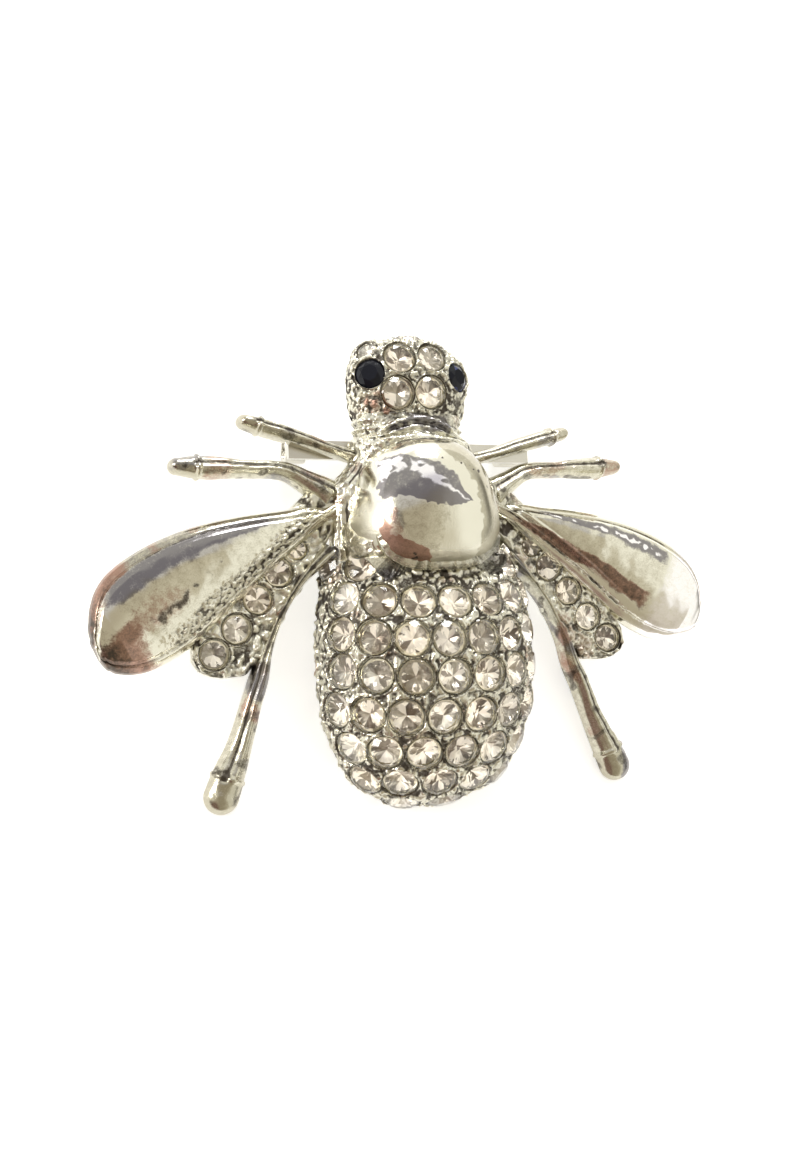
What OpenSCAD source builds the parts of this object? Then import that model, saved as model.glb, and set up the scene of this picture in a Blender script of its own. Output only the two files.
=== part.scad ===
// Insect brooch: one hollow-backed casting with pave-set stones, two dark eyes and a bar pin.
// It lies on its back as it does on a table: on the ends of its bar pin and on its rear feet.
// Sizes in millimetres. The brooch's own frame has x across the wings, y = 0 at the waist with
// the head at +y, and z = 0 at the flat back of the casting. at_rest() lays it on the table.

/* [Wings] */
// Width of the brooch over the two forewing tips
wing_span = 50; // [47:0.5:54]
// Length of a forewing from its root to its tip
forewing_l = 20; // [18:0.5:22]
// Width of a forewing in front of its axis, at the widest place
forewing_front_w = 5.05; // [4:0.05:6]
// Width of a forewing behind its axis, at the widest place
forewing_rear_w = 2.75; // [2:0.05:3.5]
// Angle by which a forewing sweeps back from straight across
forewing_sweep = 29.9; // [25:0.1:35]
// Where the forewing root lies in front of the waist
forewing_root_y = 5.3; // [4.5:0.1:6]
// Thickness of a wing's metal
wing_wall = 1.1; // [0.9:0.05:1.4]
// Rise of a forewing's polished middle above its rim
forewing_crown = 0.95; // [0.5:0.05:1.4]
// Width of the raised bead along a forewing's edge
forewing_bead_w = 0.6; // [0.4:0.05:0.9]
// Height of a hind wing's plate above the casting's back
hindwing_top = 1.2; // [1:0.05:1.5]
// Width of the metal rim outside a hind wing's stones
hindwing_rim = 0.4; // [0.3:0.05:0.7]

/* [Abdomen] */
// Length of the abdomen from the waist to the tail
abdomen_l = 16.8; // [15.5:0.1:18.5]
// Width of the abdomen at its widest place
abdomen_w = 17; // [15.5:0.1:18.5]
// Height of the abdomen above its rim
abdomen_h = 7.7; // [6.8:0.1:8.6]
// Distance from the waist to the widest place
abdomen_wide_at = 5.5; // [4.5:0.1:6.5]
// Height of the abdomen's rim above the casting's back
abdomen_lift = 0.35; // [0.2:0.05:0.6]
// Thickness of the casting's walls
wall = 1.7; // [1.5:0.05:2]

/* [Thorax] */
// Length of the polished dome
thorax_l = 10.4; // [9.8:0.1:11.2]
// Width of the polished dome
thorax_w = 10.9; // [10.2:0.1:11.6]
// Height of the dome's top above the casting's back
thorax_top = 8.2; // [7.4:0.1:9]
// Width of the plate under the dome
plate_w = 13.7; // [13:0.1:14.6]
// Height of the plate's upper edge above the casting's back
plate_top = 2.9; // [2.4:0.1:3.4]

/* [Head] */
// Width of the head
head_w = 9.8; // [9.2:0.1:10.8]
// Length of the head
head_l = 8.4; // [8:0.1:9.2]
// Height of the head's top above the casting's back
head_top = 2.9; // [2.6:0.1:3.4]
// Where the middle of the head lies in front of the waist
head_y = 14.9; // [14.5:0.1:15.5]

/* [Legs] */
// Height of the legs' backs above the casting's back
leg_top = 1.5; // [1.2:0.05:1.8]
// Reach of a front leg from the middle of the brooch
front_leg_reach = 13.85; // [13:0.05:14.5]
// Reach of a middle leg from the middle of the brooch
mid_leg_reach = 18.85; // [18:0.05:19.5]
// Reach of a rear leg behind the waist
rear_leg_reach = 16.35; // [15.6:0.05:17]
// Width of a rear foot
rear_foot_w = 2.6; // [2.2:0.1:3]

/* [Stones] */
// Diameter of the stones on the abdomen and the head
stone_d = 2.55; // [2.3:0.05:2.6]
// Diameter of the stones on the hind wings
wing_stone_d = 2.3; // [2:0.05:2.35]
// Diameter of the small stone at each hind wing's root
root_stone_d = 1.7; // [1.4:0.05:1.8]
// Diameter of the eyes
eye_d = 2.3; // [2.1:0.05:2.4]
// Clearance round a stone in its seat
seat_clearance = 0.05; // [0.03:0.01:0.1]

/* [Bar pin] */
// Length of the bar between its two ends
bar_l = 20.2; // [18.6:0.2:21]
// Width of the bar
bar_w = 1.4; // [1.3:0.1:1.7]
// Thickness of the bar
bar_t = 0.6; // [0.5:0.05:0.8]
// Where the bar crosses the back, in front of the waist
bar_y = 10.3; // [9.9:0.1:10.6]
// Radius of the pin's wire
wire_r = 0.35; // [0.3:0.01:0.4]
// Depth of the wire's axis below the casting's back
wire_drop = 1.4; // [1.3:0.05:1.6]
// Outer radius of the catch
catch_r = 0.85; // [0.8:0.01:0.95]
// Length of the wire's sharpened point
point_l = 1.2; // [0.8:0.1:1.8]

/* [Hidden] */

metal_colour = "#CFCDBF";
stone_colour = "#C6B8AA";
eye_colour = "#10162C";

fit_gap = 0.05;
bar_x = 0.4;
hinge_l = 2.2;
catch_l = 1.6;
catch_wall = 0.35;
point_r = 0.06;
// Height of a stone's girdle over the metal; below 0 it is sunk in its seat
stone_sink = -0.1;
// Depth of a seat below its stone's girdle, as a share of the stone's diameter
seat_depth = 0.26;
cut_over = 1;
probe = 0.01;

// Powers of the rounded outlines: 2 is an ellipse, more is boxier
arch_power = 2.22;
tail_plan_power = 2.45;
tail_rise_power = 2.15;
thorax_power = 2.7;
thorax_plan_power = 2.6;
head_power = 2.5;
head_plan_power = 2.7;
waist_pinch = 0.1;
waist_drop = 0.36;
thorax_taper = 0.18;
abdomen_tuck = 1.5;
abdomen_lean = 0.02;
arch_steps = 20;
tail_steps = 9;
front_steps = 3;
plan_steps = 26;
dome_steps = 6;

// Gap along y between the waist and the dome's rear
thorax_gap = 0.3;
thorax_y = thorax_l / 2 + thorax_gap;
thorax_x = -0.4;
thorax_floor = plate_top - 0.8;
ledge_side = 0.4;
ledge_end = 0.95;
ledge_drop = 1.75;
ledge_power = 3.5;
ledge_from = -2;
ledge_to = 2.6;
head_front = head_y + head_l / 2;
head_x = -0.1;

// Rows of abdomen stones: place behind the waist at the middle line, spacing, shift of the row,
// first and last stone counted from the middle line
stone_rows = [
    [-0.8, 2.95, -0.3, -3, -2],
    [-0.8, 2.95, 0.3, 2, 3],
    [1.8, 2.78, 0.1, -3, 3],
    [4.55, 2.76, -0.75, -3, 3],
    [7.25, 2.87, -0.45, -3, 4],
    [10.1, 2.85, -1.1, -3, 4],
    [12.7, 2.88, 0.53, -3, 2],
    [14.9, 3, -0.6, -2, 2],
    [16.45, 3.35, 0.75, -1, 0]
];
row_bow = 0.009;

// Head stones: x, distance from the head's middle, share of the full diameter
head_stones = [
    [-1.78, -0.66, 1],
    [0.95, -0.52, 1],
    [-3.62, 2.95, 0.63],
    [-1.4, 2.14, 0.98],
    [1.3, 2.3, 0.9],
    [0, 4.05, 0.9]
];
// Eyes: distance to each side of the head's middle line and ahead of its middle
eye_x = 3.65;
eye_ahead = 0.9;

// Hind wing stones: x, y in front of the waist, from the root to the tip
wing_stones = [
    [9.75, 2.65],
    [11.2, 0.95],
    [12.85, -1.0],
    [14.5, -3.1],
    [16.2, -4.85]
];

// Outline of a hind wing's plate and of the web that joins it to the forewing's root
hindwing_web = [
    [6, 7.7], [7.6, 7.6], [9.15, 6.8], [10, 5.85], [10.3, 4.2], [18.1, -3.5], [16.2, -6.2],
    [13.3, -6.1], [12.1, -4.4], [7.9, 2], [6, 4.6]
];

// Forewing sections: share of the length, share of the front width, share of the rear width
wing_sections = [
    [-0.08, 0.08, 0.12],
    [0, 0.14, 0.14],
    [0.07, 0.3, 0.19],
    [0.15, 0.42, 0.29],
    [0.24, 0.575, 0.38],
    [0.33, 0.715, 0.48],
    [0.42, 0.835, 0.59],
    [0.52, 0.935, 0.73],
    [0.62, 0.995, 0.88],
    [0.7, 1.01, 0.97],
    [0.78, 0.99, 0.98],
    [0.85, 0.92, 0.93],
    [0.91, 0.77, 0.8],
    [0.955, 0.56, 0.6],
    [0.985, 0.34, 0.36],
    [0.998, 0.12, 0.12]
];
wing_steps = 10;
// Turns of the cast limbs against the body
wing_skew = 0.9;
mid_leg_skew = 0.75;
front_leg_skew = -0.5;
rear_leg_lean = 0.03;
rear_leg_shift = -0.12;
// Distance across from a forewing's root to its tip
forewing_across = 17.97;
forewing_root_x = wing_span / 2 - forewing_across;
wing_root_z = 0.5;
wing_tip_z = 0.75;
wing_twist = 0.11;
wing_power = 2.4;
bead_rise = 0.22;
// Share of a forewing's crown that its under face follows
wing_under = 0.9;

// Leg joints from root to toe: share of the reach, y, half width, rise over the leg's usual top
front_leg = [
    [0.33, 9.6, 0.55, -0.2],
    [0.5, 10.22, 0.5, -0.15],
    [0.67, 10.97, 0.6, 0],
    [0.88, 11.75, 0.63, 0],
    [0.96, 12.05, 0.55, -0.1]
];
mid_leg = [
    [0.36, 6.85, 1.3, 0.1],
    [0.445, 7.8, 0.9, 0],
    [0.52, 8.55, 0.74, -0.05],
    [0.69, 8.82, 0.68, 0],
    [0.885, 8.96, 0.85, 0],
    [0.965, 9.01, 0.62, -0.1]
];
// Rear leg joints: share of the reach behind the waist, x, half width, rise over the usual top
rear_leg = [
    [-0.15, 6.9, 0.8, 0.5],
    [-0.085, 8.25, 0.55, 0.4],
    [0.29, 12.3, 0.5, 0],
    [0.415, 12.95, 0.72, 0],
    [0.52, 13.6, 0.76, -0.05],
    [0.72, 14.8, 0.27 * rear_foot_w + 0.25, -0.1],
    [0.84, 15.7, 0.46 * rear_foot_w, 0],
    [1 - rear_foot_w / 2 / rear_leg_reach, 16.25, rear_foot_w / 2, -0.05]
];
// The right rear leg is longer than the left by twice this
rear_leg_extra = 0.1;
leg_belly = 0.3;
ridge_rise = 0.14;
ridge_half = 0.12;

// Body plate and neck: y in front of the waist, share of the plate's width, rise over the plate's
// top, sideways shift
plate_sections = [
    [-1.2, 0.84, 1.3, 0],
    [0, 0.95, 0.5, 0],
    [1.5, 1, 0, 0],
    [4, 1, 0, 0],
    [6.3, 1.02, 0, 0],
    [7.5, 0.99, 0, 0],
    [8.4, 0.84, 0.1, 0],
    [9.2, 0.75, 0.4, 0],
    [10.4, 0.69, 0.75, -0.15],
    [11.05, 0.66, 0.6, -0.25],
    [11.35, 0.62, 0.15, -0.25],
    [11.65, 0.65, 0.35, -0.25],
    [11.95, 0.61, 0.05, -0.25],
    [12.25, 0.64, 0.3, -0.25],
    [12.8, 0.61, -0.2, -0.2]
];
plate_steps = 16;
plate_power = 3.2;
neck_hollow_w = 0.62 * plate_w - 2 * wall;

// Rest pose: the bar pin's ends and the rear feet touch the table
foot_tuck = 0.08;
foot_heel = rear_leg_reach - foot_tuck;
rest_span = norm([bar_y + foot_heel, wire_drop + fit_gap]);
rest_tilt = asin(catch_r / rest_span) + atan((wire_drop + fit_gap) / (bar_y + foot_heel));
rest_z = foot_heel * sin(rest_tilt);
// The origin is the middle of the box as it lies, this much behind the middle of its length
lying_shift = 0.03;
origin_y = (head_front - abdomen_l) / 2 - lying_shift;

function signed_power(v, p) = sign(v) * pow(abs(v), p);
function unit(v) = v / norm(v);

// One solid from closed rings of points that all have the same count
module loft(rings) {
    n = len(rings[0]);
    m = len(rings);
    sides = [
        for (i = [0:m - 2], j = [0:n - 1])
            each [
                [i * n + j, i * n + (j + 1) % n, (i + 1) * n + (j + 1) % n],
                [i * n + j, (i + 1) * n + (j + 1) % n, (i + 1) * n + j]
            ]
    ];
    first = [for (j = [n - 1:-1:0]) j];
    last = [for (j = [0:n - 1]) (m - 1) * n + j];
    polyhedron([for (r = rings) each r], concat([first], sides, [last]));
}

// Stands children on a surface, sunk by the girdle's depth: local z along the surface normal
module stand_on(point, normal) {
    translate(point + stone_sink * normal)
        rotate([0, acos(normal[2]), atan2(normal[1], normal[0])])
            children();
}

module at_rest() {
    translate([0, -origin_y, rest_z])
        rotate([rest_tilt, 0, 0])
            children();
}

// A round cut stone: table, eight crown facets, girdle and eight pavilion facets
module cut_stone(d) {
    table_r = 0.29 * d;
    crown = 0.16 * d;
    girdle = 0.04 * d;
    pavilion = 0.24 * d;
    sides = 8;
    levels = [[table_r, crown], [d / 2, 0], [d / 2, -girdle]];
    points = [
        for (level = levels, k = [0:sides - 1])
            [level[0] * cos(360 * k / sides), level[0] * sin(360 * k / sides), level[1]]
    ];
    bands = [
        for (i = [0:1], k = [0:sides - 1])
            let (next = (k + 1) % sides)
            [i * sides + k, i * sides + next, (i + 1) * sides + next, (i + 1) * sides + k]
    ];
    cone = [for (k = [0:sides - 1]) [2 * sides + k, 2 * sides + (k + 1) % sides, 3 * sides]];
    polyhedron(
        concat(points, [[0, 0, -pavilion]]),
        concat([[for (k = [sides - 1:-1:0]) k]], bands, cone)
    );
}

// Pocket that a cut stone sits in, eight-sided like its girdle
module stone_seat(d) {
    translate([0, 0, -seat_depth * d])
        cylinder(d = d + 2 * seat_clearance, h = seat_depth * d + cut_over, $fn = 8);
}

// Share of the abdomen's full section left at y: rounded to the tail, falling by fall at the waist
function abdomen_share(y, inset, power, fall) =
    let (behind = (-abdomen_wide_at - y) / (abdomen_l - inset - abdomen_wide_at))
    behind > 0
        ? pow(max(0, 1 - pow(behind, power)), 1 / power)
        : 1 - fall * pow((y + abdomen_wide_at) / (abdomen_wide_at + abdomen_tuck), 2);

function abdomen_half_w(y, inset) =
    (abdomen_w / 2 - inset) * abdomen_share(y, inset, tail_plan_power, waist_pinch);
function abdomen_rise(y, inset) =
    (abdomen_h - inset) * abdomen_share(y, inset, tail_rise_power, waist_drop);

function abdomen_point(y, a, inset = 0) = [
    abdomen_lean * y - abdomen_half_w(y, inset) * signed_power(cos(a), 2 / arch_power),
    y,
    abdomen_lift + abdomen_rise(y, inset) * pow(sin(a), 2 / arch_power)
];

function abdomen_normal(y, a) =
    unit(cross(
        abdomen_point(y - probe, a) - abdomen_point(y + probe, a),
        abdomen_point(y, a + probe) - abdomen_point(y, a - probe)
    ));

// Stations along the abdomen, closer together towards the tail
function abdomen_stations(inset) = concat(
    [for (i = [0:front_steps - 1])
        abdomen_tuck - (abdomen_tuck + abdomen_wide_at) * i / front_steps],
    [for (i = [0:tail_steps])
        -abdomen_wide_at - (abdomen_l - inset - abdomen_wide_at) * sin(87.5 * i / tail_steps)]
);

module abdomen_solid(inset, floor_z, steps) {
    loft([
        for (y = abdomen_stations(inset))
            concat(
                [for (i = [0:steps])
                    abdomen_point(y, 180 * i / steps, inset)],
                [
                    [abdomen_point(y, 180, inset)[0], y, floor_z],
                    [abdomen_point(y, 0, inset)[0], y, floor_z]
                ]
            )
    ]);
}

// Arc length round the section at y from the middle line, tabled against the angle
arc_step = 1.5;
function arc_table(y, a = 90, s = 0) =
    a >= 179
        ? [[s, a]]
        : concat(
            [[s, a]],
            arc_table(y, a + arc_step, s + norm(abdomen_point(y, a + arc_step) - abdomen_point(y, a)))
        );

function angle_at_arc(y, s) =
    let (turn = lookup(abs(s), arc_table(y)) - 90)
    s < 0 ? 90 - turn : 90 + turn;

// Place and normal of every abdomen stone
abdomen_places = [
    for (row = stone_rows, k = [row[3]:row[4]])
        let (
            s = row[1] * k + row[2],
            y = -row[0] + row_bow * s * s,
            a = angle_at_arc(y, s)
        )
        [abdomen_point(y, a), abdomen_normal(y, a)]
];

// Rounded plan outline: half width, half length, taper towards +y, power
function plan_outline(rx, ry, taper, power) = [
    for (i = [0:plan_steps - 1])
        let (
            a = 360 * i / plan_steps,
            x = rx * signed_power(cos(a), 2 / power),
            y = ry * signed_power(sin(a), 2 / power)
        )
        [x * (1 - taper * y / ry), y]
];

// Domed solid over an outline, rounded to its top
module dome(outline, centre, floor_z, top_z, power) {
    loft([
        for (i = [0:dome_steps])
            let (
                e = 88 * i / dome_steps,
                share = pow(cos(e), 2 / power),
                z = floor_z + (top_z - floor_z) * pow(sin(e), 2 / power)
            )
            [for (j = [plan_steps - 1:-1:0])
                [centre[0] + outline[j][0] * share, centre[1] + outline[j][1] * share, z]]
    ]);
}

module thorax_dome(inset = 0) {
    dome(
        plan_outline(thorax_w / 2 - inset, thorax_l / 2 - inset, thorax_taper, thorax_plan_power),
        [thorax_x, thorax_y], thorax_floor - (inset > 0 ? thorax_floor + cut_over : 0),
        thorax_top - inset, thorax_power
    );
}

// Rough ledge that the rear of the dome sits in
module thorax_ledge() {
    intersection() {
        dome(
            plan_outline(
                thorax_w / 2 + ledge_side, thorax_l / 2 + ledge_end, thorax_taper, thorax_plan_power
            ),
            [thorax_x, thorax_y], thorax_floor - cut_over, thorax_top - ledge_drop, ledge_power
        );
        translate([-thorax_w, ledge_from, 0])
            cube([2 * thorax_w, ledge_to - ledge_from, thorax_top]);
    }
}

// Height share of the head at x and distance v from its middle
function head_level(x, v, z) =
    pow(
        pow(abs(x - head_x) / (head_w / 2), head_plan_power) + pow(abs(v) / (head_l / 2), head_plan_power),
        head_power / head_plan_power
    )
    + pow(max(0, z) / head_top, head_power);

function head_point(x, v) =
    [x, head_y + v, head_top * pow(max(0, 1 - head_level(x, v, 0)), 1 / head_power)];

function head_normal(x, v) =
    let (z = head_point(x, v)[2])
    unit([
        head_level(x + probe, v, z) - head_level(x - probe, v, z),
        head_level(x, v + probe, z) - head_level(x, v - probe, z),
        head_level(x, v, z + probe) - head_level(x, v, z - probe)
    ]);

module eye_place(side) {
    x = head_x + side * eye_x;
    stand_on(head_point(x, eye_ahead), head_normal(x, eye_ahead))
        children();
}

module head_dome(inset = 0) {
    dome(
        plan_outline(head_w / 2 - inset, head_l / 2 - inset, 0, head_plan_power),
        [head_x, head_y], inset > 0 ? -cut_over : 0, head_top - inset, head_power
    );
}

// Plate under the thorax and the ridged neck, as sections along y
module body_plate() {
    loft([
        for (row = plate_sections)
            [for (i = [plate_steps:-1:0])
                let (a = 180 * i / plate_steps)
                [
                    row[3] - plate_w / 2 * row[1] * signed_power(cos(a), 2 / plate_power),
                    row[0],
                    (plate_top + row[2]) * pow(sin(a), 2 / plate_power)
                ]]
    ]);
}

// Hollow of the back under the thorax, the neck and the head
module back_hollow() {
    thorax_dome(wall);
    head_dome(wall);
    translate([-neck_hollow_w / 2, 0, -cut_over])
        cube([neck_hollow_w, head_y, cut_over + plate_top - wall]);
}

function wing_place(s, t, z) = [
    forewing_root_x + s * cos(forewing_sweep) + t * sin(forewing_sweep),
    forewing_root_y - s * sin(forewing_sweep) + t * cos(forewing_sweep),
    z + wing_root_z + (wing_tip_z - wing_root_z) * s / forewing_l + wing_twist * t
];

// Height over the wing's under face at v, from -1 at the rear edge to 1 at the front edge
function wing_rise(v, half_w) =
    forewing_crown * min(1, half_w / 3) * (1 - pow(abs(v), wing_power));

function wing_bead(v, half_w) =
    let (bead_half = forewing_bead_w / 2)
    bead_rise * max(0, 1 - pow(abs((1 - abs(v)) * half_w - bead_half) / bead_half, 2));

// Forewing: a domed plate with a bead round its edge
module forewing() {
    loft([
        for (row = wing_sections)
            let (
                s = row[0] * forewing_l,
                front = row[1] * forewing_front_w,
                rear = row[2] * forewing_rear_w,
                half_w = (front + rear) / 2,
                middle = (front - rear) / 2,
                edge = 0.5 * wing_wall
            )
            concat(
                [for (i = [0:wing_steps])
                    let (v = -cos(180 * i / wing_steps))
                    wing_place(s, middle + half_w * v, edge + (wing_wall - edge) * min(1, 4 * (1 - abs(v)))
                        + wing_rise(v, half_w) + wing_bead(v, half_w))],
                [for (i = [wing_steps:-1:0])
                    let (v = -cos(180 * i / wing_steps))
                    wing_place(s, middle + half_w * v, wing_rise(v, half_w) * wing_under)]
            )
    ]);
}

// Hind wing: a flat plate with a scalloped edge round its row of stones, and the web at the roots
module hindwing() {
    linear_extrude(hindwing_top) {
        for (i = [1:4])
            translate(wing_stones[i])
                circle(d = wing_stone_d + 2 * hindwing_rim, $fn = 24);
        translate(wing_stones[0])
            circle(d = root_stone_d + 2 * hindwing_rim, $fn = 24);
        polygon(hindwing_web);
    }
}

module leg_joint(joint) {
    translate([joint[0], joint[1], leg_belly])
        scale([joint[2], joint[2], leg_top + joint[3] - leg_belly])
            sphere(r = 1, $fn = 10);
}

// A leg as a chain of rounded joints, with a raised ridge where the toe begins
module leg_chain(joints, ridge_at) {
    for (i = [0:len(joints) - 2])
        hull() {
            leg_joint(joints[i]);
            leg_joint(joints[i + 1]);
        }
    toe = joints[ridge_at + 1] - joints[ridge_at];
    ridge = joints[ridge_at];
    hull()
        for (side = [-1, 1])
            translate([ridge[0], ridge[1], leg_belly])
                rotate([0, 0, atan2(toe[1], toe[0])])
                    translate([ridge_half * side, 0, 0])
                        scale([ridge_half, ridge[2] + ridge_rise, leg_top - leg_belly + ridge_rise])
                            sphere(r = 1, $fn = 8);
}

module front_leg_chain() {
    leg_chain([for (j = front_leg) [j[0] * front_leg_reach, j[1], j[2], j[3]]], 3);
}

module mid_leg_chain() {
    leg_chain([for (j = mid_leg) [j[0] * mid_leg_reach, j[1], j[2], j[3]]], 4);
}

// The rear legs lean to one side below their knees
module rear_leg_chain(side) {
    leg_chain(
        [for (j = rear_leg)
            [
                j[1] + side * (rear_leg_lean * j[0] * rear_leg_reach + rear_leg_shift),
                -j[0] * (rear_leg_reach + rear_leg_extra * side), j[2], j[3]
            ]],
        6
    );
}

// A limb turned in the plane of the back, on the left (-1) or the right (1)
module limb(side, skew) {
    rotate([0, 0, skew])
        scale([side, 1, 1])
            children();
}

module limbs(side) {
    limb(side, wing_skew)
        forewing();
    limb(side, 0)
        hindwing();
    limb(side, front_leg_skew)
        front_leg_chain();
    limb(side, mid_leg_skew)
        mid_leg_chain();
    limb(side, 0)
        rear_leg_chain(side);
}

function wing_stone_size(i) = i == 0 ? root_stone_d : wing_stone_d;
function wing_stone_point(i) = [wing_stones[i][0], wing_stones[i][1], hindwing_top + stone_sink];

module wing_stone_place(side, i) {
    translate([side * wing_stone_point(i)[0], wing_stone_point(i)[1], wing_stone_point(i)[2]])
        children();
}

module all_seats() {
    for (place = abdomen_places)
        stand_on(place[0], place[1])
            stone_seat(stone_d);
    for (s = head_stones)
        stand_on(head_point(s[0], s[1]), head_normal(s[0], s[1]))
            stone_seat(s[2] * stone_d);
    for (side = [-1, 1]) {
        eye_place(side)
            stone_seat(eye_d);
        for (i = [0:4])
            wing_stone_place(side, i)
                stone_seat(wing_stone_size(i));
    }
}

// The casting: head, neck, thorax, abdomen, wings and legs in one
module cast_body() {
    color(metal_colour)
        at_rest()
            difference() {
                union() {
                    abdomen_solid(0, abdomen_lift - 0.1, arch_steps);
                    body_plate();
                    thorax_dome();
                    thorax_ledge();
                    head_dome();
                    limbs(-1);
                    limbs(1);
                }
                abdomen_solid(wall, -cut_over, arch_steps / 2);
                back_hollow();
                all_seats();
                translate([-wing_span, -wing_span, -wing_span])
                    cube([2 * wing_span, 2 * wing_span, wing_span]);
            }
}

module abdomen_stones() {
    color(stone_colour)
        at_rest()
            for (place = abdomen_places)
                stand_on(place[0], place[1])
                    cut_stone(stone_d);
}

module head_stone(i) {
    color(stone_colour)
        at_rest()
            stand_on(
                head_point(head_stones[i][0], head_stones[i][1]),
                head_normal(head_stones[i][0], head_stones[i][1])
            )
                cut_stone(head_stones[i][2] * stone_d);
}

module eye(side) {
    color(eye_colour)
        at_rest()
            eye_place(side)
                cut_stone(eye_d);
}

module wing_stone(side, i) {
    color(stone_colour)
        at_rest()
            wing_stone_place(side, i)
                cut_stone(wing_stone_size(i));
}

// Bar pin: bar, hinge block, catch and the wire with its point, as one piece
module back_pin() {
    color(metal_colour)
        at_rest()
            translate([bar_x, bar_y, -fit_gap]) {
                translate([-bar_l / 2, -bar_w / 2, -bar_t])
                    cube([bar_l, bar_w, bar_t]);
                translate([bar_l / 2 - hinge_l, -bar_w / 2, -wire_drop])
                    cube([hinge_l, bar_w, wire_drop]);
                translate([bar_l / 2 - hinge_l, 0, -wire_drop])
                    rotate([0, 90, 0])
                        cylinder(r = catch_r, h = hinge_l, $fn = 48);
                translate([-bar_l / 2, 0, -wire_drop])
                    rotate([0, 90, 0]) {
                        difference() {
                            cylinder(r = catch_r, h = catch_l, $fn = 48);
                            translate([0, 0, -cut_over])
                                cylinder(r = catch_r - catch_wall, h = catch_l + 2 * cut_over, $fn = 48);
                            translate([-wire_r, 0, -cut_over])
                                cube([2 * wire_r, catch_r + cut_over, catch_l + 2 * cut_over]);
                        }
                        cylinder(r1 = point_r, r2 = wire_r, h = point_l, $fn = 32);
                        translate([0, 0, point_l])
                            cylinder(r = wire_r, h = bar_l - point_l - hinge_l / 2, $fn = 32);
                    }
            }
}

cast_body();
abdomen_stones();
for (i = [0:5])
    head_stone(i);
eye(-1);  // eye_left
eye(1);  // eye_right
for (i = [0:4])
    wing_stone(-1, i);
for (i = [0:4])
    wing_stone(1, i);
back_pin();
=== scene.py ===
import bpy
import bmesh
import numpy as np
from mathutils import Matrix


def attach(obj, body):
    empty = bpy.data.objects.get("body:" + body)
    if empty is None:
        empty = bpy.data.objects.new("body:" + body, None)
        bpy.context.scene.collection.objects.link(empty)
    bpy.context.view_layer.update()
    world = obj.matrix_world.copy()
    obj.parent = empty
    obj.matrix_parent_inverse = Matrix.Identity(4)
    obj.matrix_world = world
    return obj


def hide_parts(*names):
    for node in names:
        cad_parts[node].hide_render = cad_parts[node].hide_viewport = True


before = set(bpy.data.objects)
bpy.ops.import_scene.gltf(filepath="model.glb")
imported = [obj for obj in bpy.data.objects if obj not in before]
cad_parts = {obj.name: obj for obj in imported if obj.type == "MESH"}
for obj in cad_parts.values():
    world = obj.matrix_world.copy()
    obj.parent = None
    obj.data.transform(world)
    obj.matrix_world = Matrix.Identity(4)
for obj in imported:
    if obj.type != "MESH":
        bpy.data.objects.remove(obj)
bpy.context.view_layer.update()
print("frame loaded")

# How the brooch lies: turned nose up on its pin's ends and rear feet. Degrees and millimetres.
lying = {"noseUp": 4.95423, "along": -1.12, "up": 1.40508}


# Brooch millimetres to world metres: a turn about x by noseUp, then a shift.
def layDown(points):
    turn = np.radians(lying["noseUp"])
    x, y, z = points[..., 0], points[..., 1], points[..., 2]
    alongY = y * np.cos(turn) - z * np.sin(turn) + lying["along"]
    upZ = y * np.sin(turn) + z * np.cos(turn) + lying["up"]
    return np.stack([x, alongY, upZ], -1) / 1000


# A steady random number from 0 to 1 for each whole-number cell: its three counts mixed bit by bit.
def cellNumber(cells, seed):
    mixed = (cells.astype(np.int64) @ np.array([73856093, 19349663, 83492791]) + seed * 1013904223) & 0xFFFFFFFF
    mixed = ((mixed ^ (mixed >> 13)) * 1274126177) & 0xFFFFFFFF
    mixed = mixed ^ (mixed >> 16)
    return (mixed & 0xFFFF) / 65535.0


# Smooth noise from -1 to 1: cell corners' numbers blended with a three-way smooth step, on cells
# turned away from the axes.
askew = np.array([(0.36, 0.48, -0.8), (-0.8, 0.6, 0.0), (0.48, 0.64, 0.6)])


def softNoise(points, size, seed):
    scaled = points @ askew / size
    low = np.floor(scaled)
    part = scaled - low
    part = part * part * (3 - 2 * part)
    total = 0
    for corner in np.ndindex(2, 2, 2):
        corner = np.array(corner)
        weight = np.prod(np.where(corner == 1, part, 1 - part), -1)
        total = total + weight * cellNumber(low + corner, seed)
    return 2 * total - 1


# Uneven grains, 1 on a grain's top and 0 between: 1 minus the square of the distance to the
# nearest of one jittered point per cell, with the points bent by soft noise first.
def grains(points, size, seed):
    scaled = points / size + 0.4 * np.stack([softNoise(points, 0.7 * size, seed + k) for k in (1, 2, 3)], -1)
    low = np.floor(scaled)
    nearest = np.full(points.shape[:-1], 9.0)
    for step in np.ndindex(3, 3, 3):
        cell = low + np.array(step) - 1
        jitter = np.stack([cellNumber(cell, seed + k) for k in (11, 23, 37)], -1)
        apart = np.linalg.norm(scaled - cell - 0.15 - 0.7 * jitter, axis=-1)
        nearest = np.minimum(nearest, apart)
    return np.clip(1 - (nearest / 0.62) ** 2, 0, 1)


# 0 below low, 1 above high, with a smooth rise between.
def ease(value, low, high):
    share = np.clip((value - low) / (high - low), 0, 1)
    return share * share * (3 - 2 * share)


# 0 outside, 1 inside: a smooth rise from a to b times a smooth fall from c to d.
def window(value, a, b, c, d):
    return ease(value, a, b) * (1 - ease(value, c, d))


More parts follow.
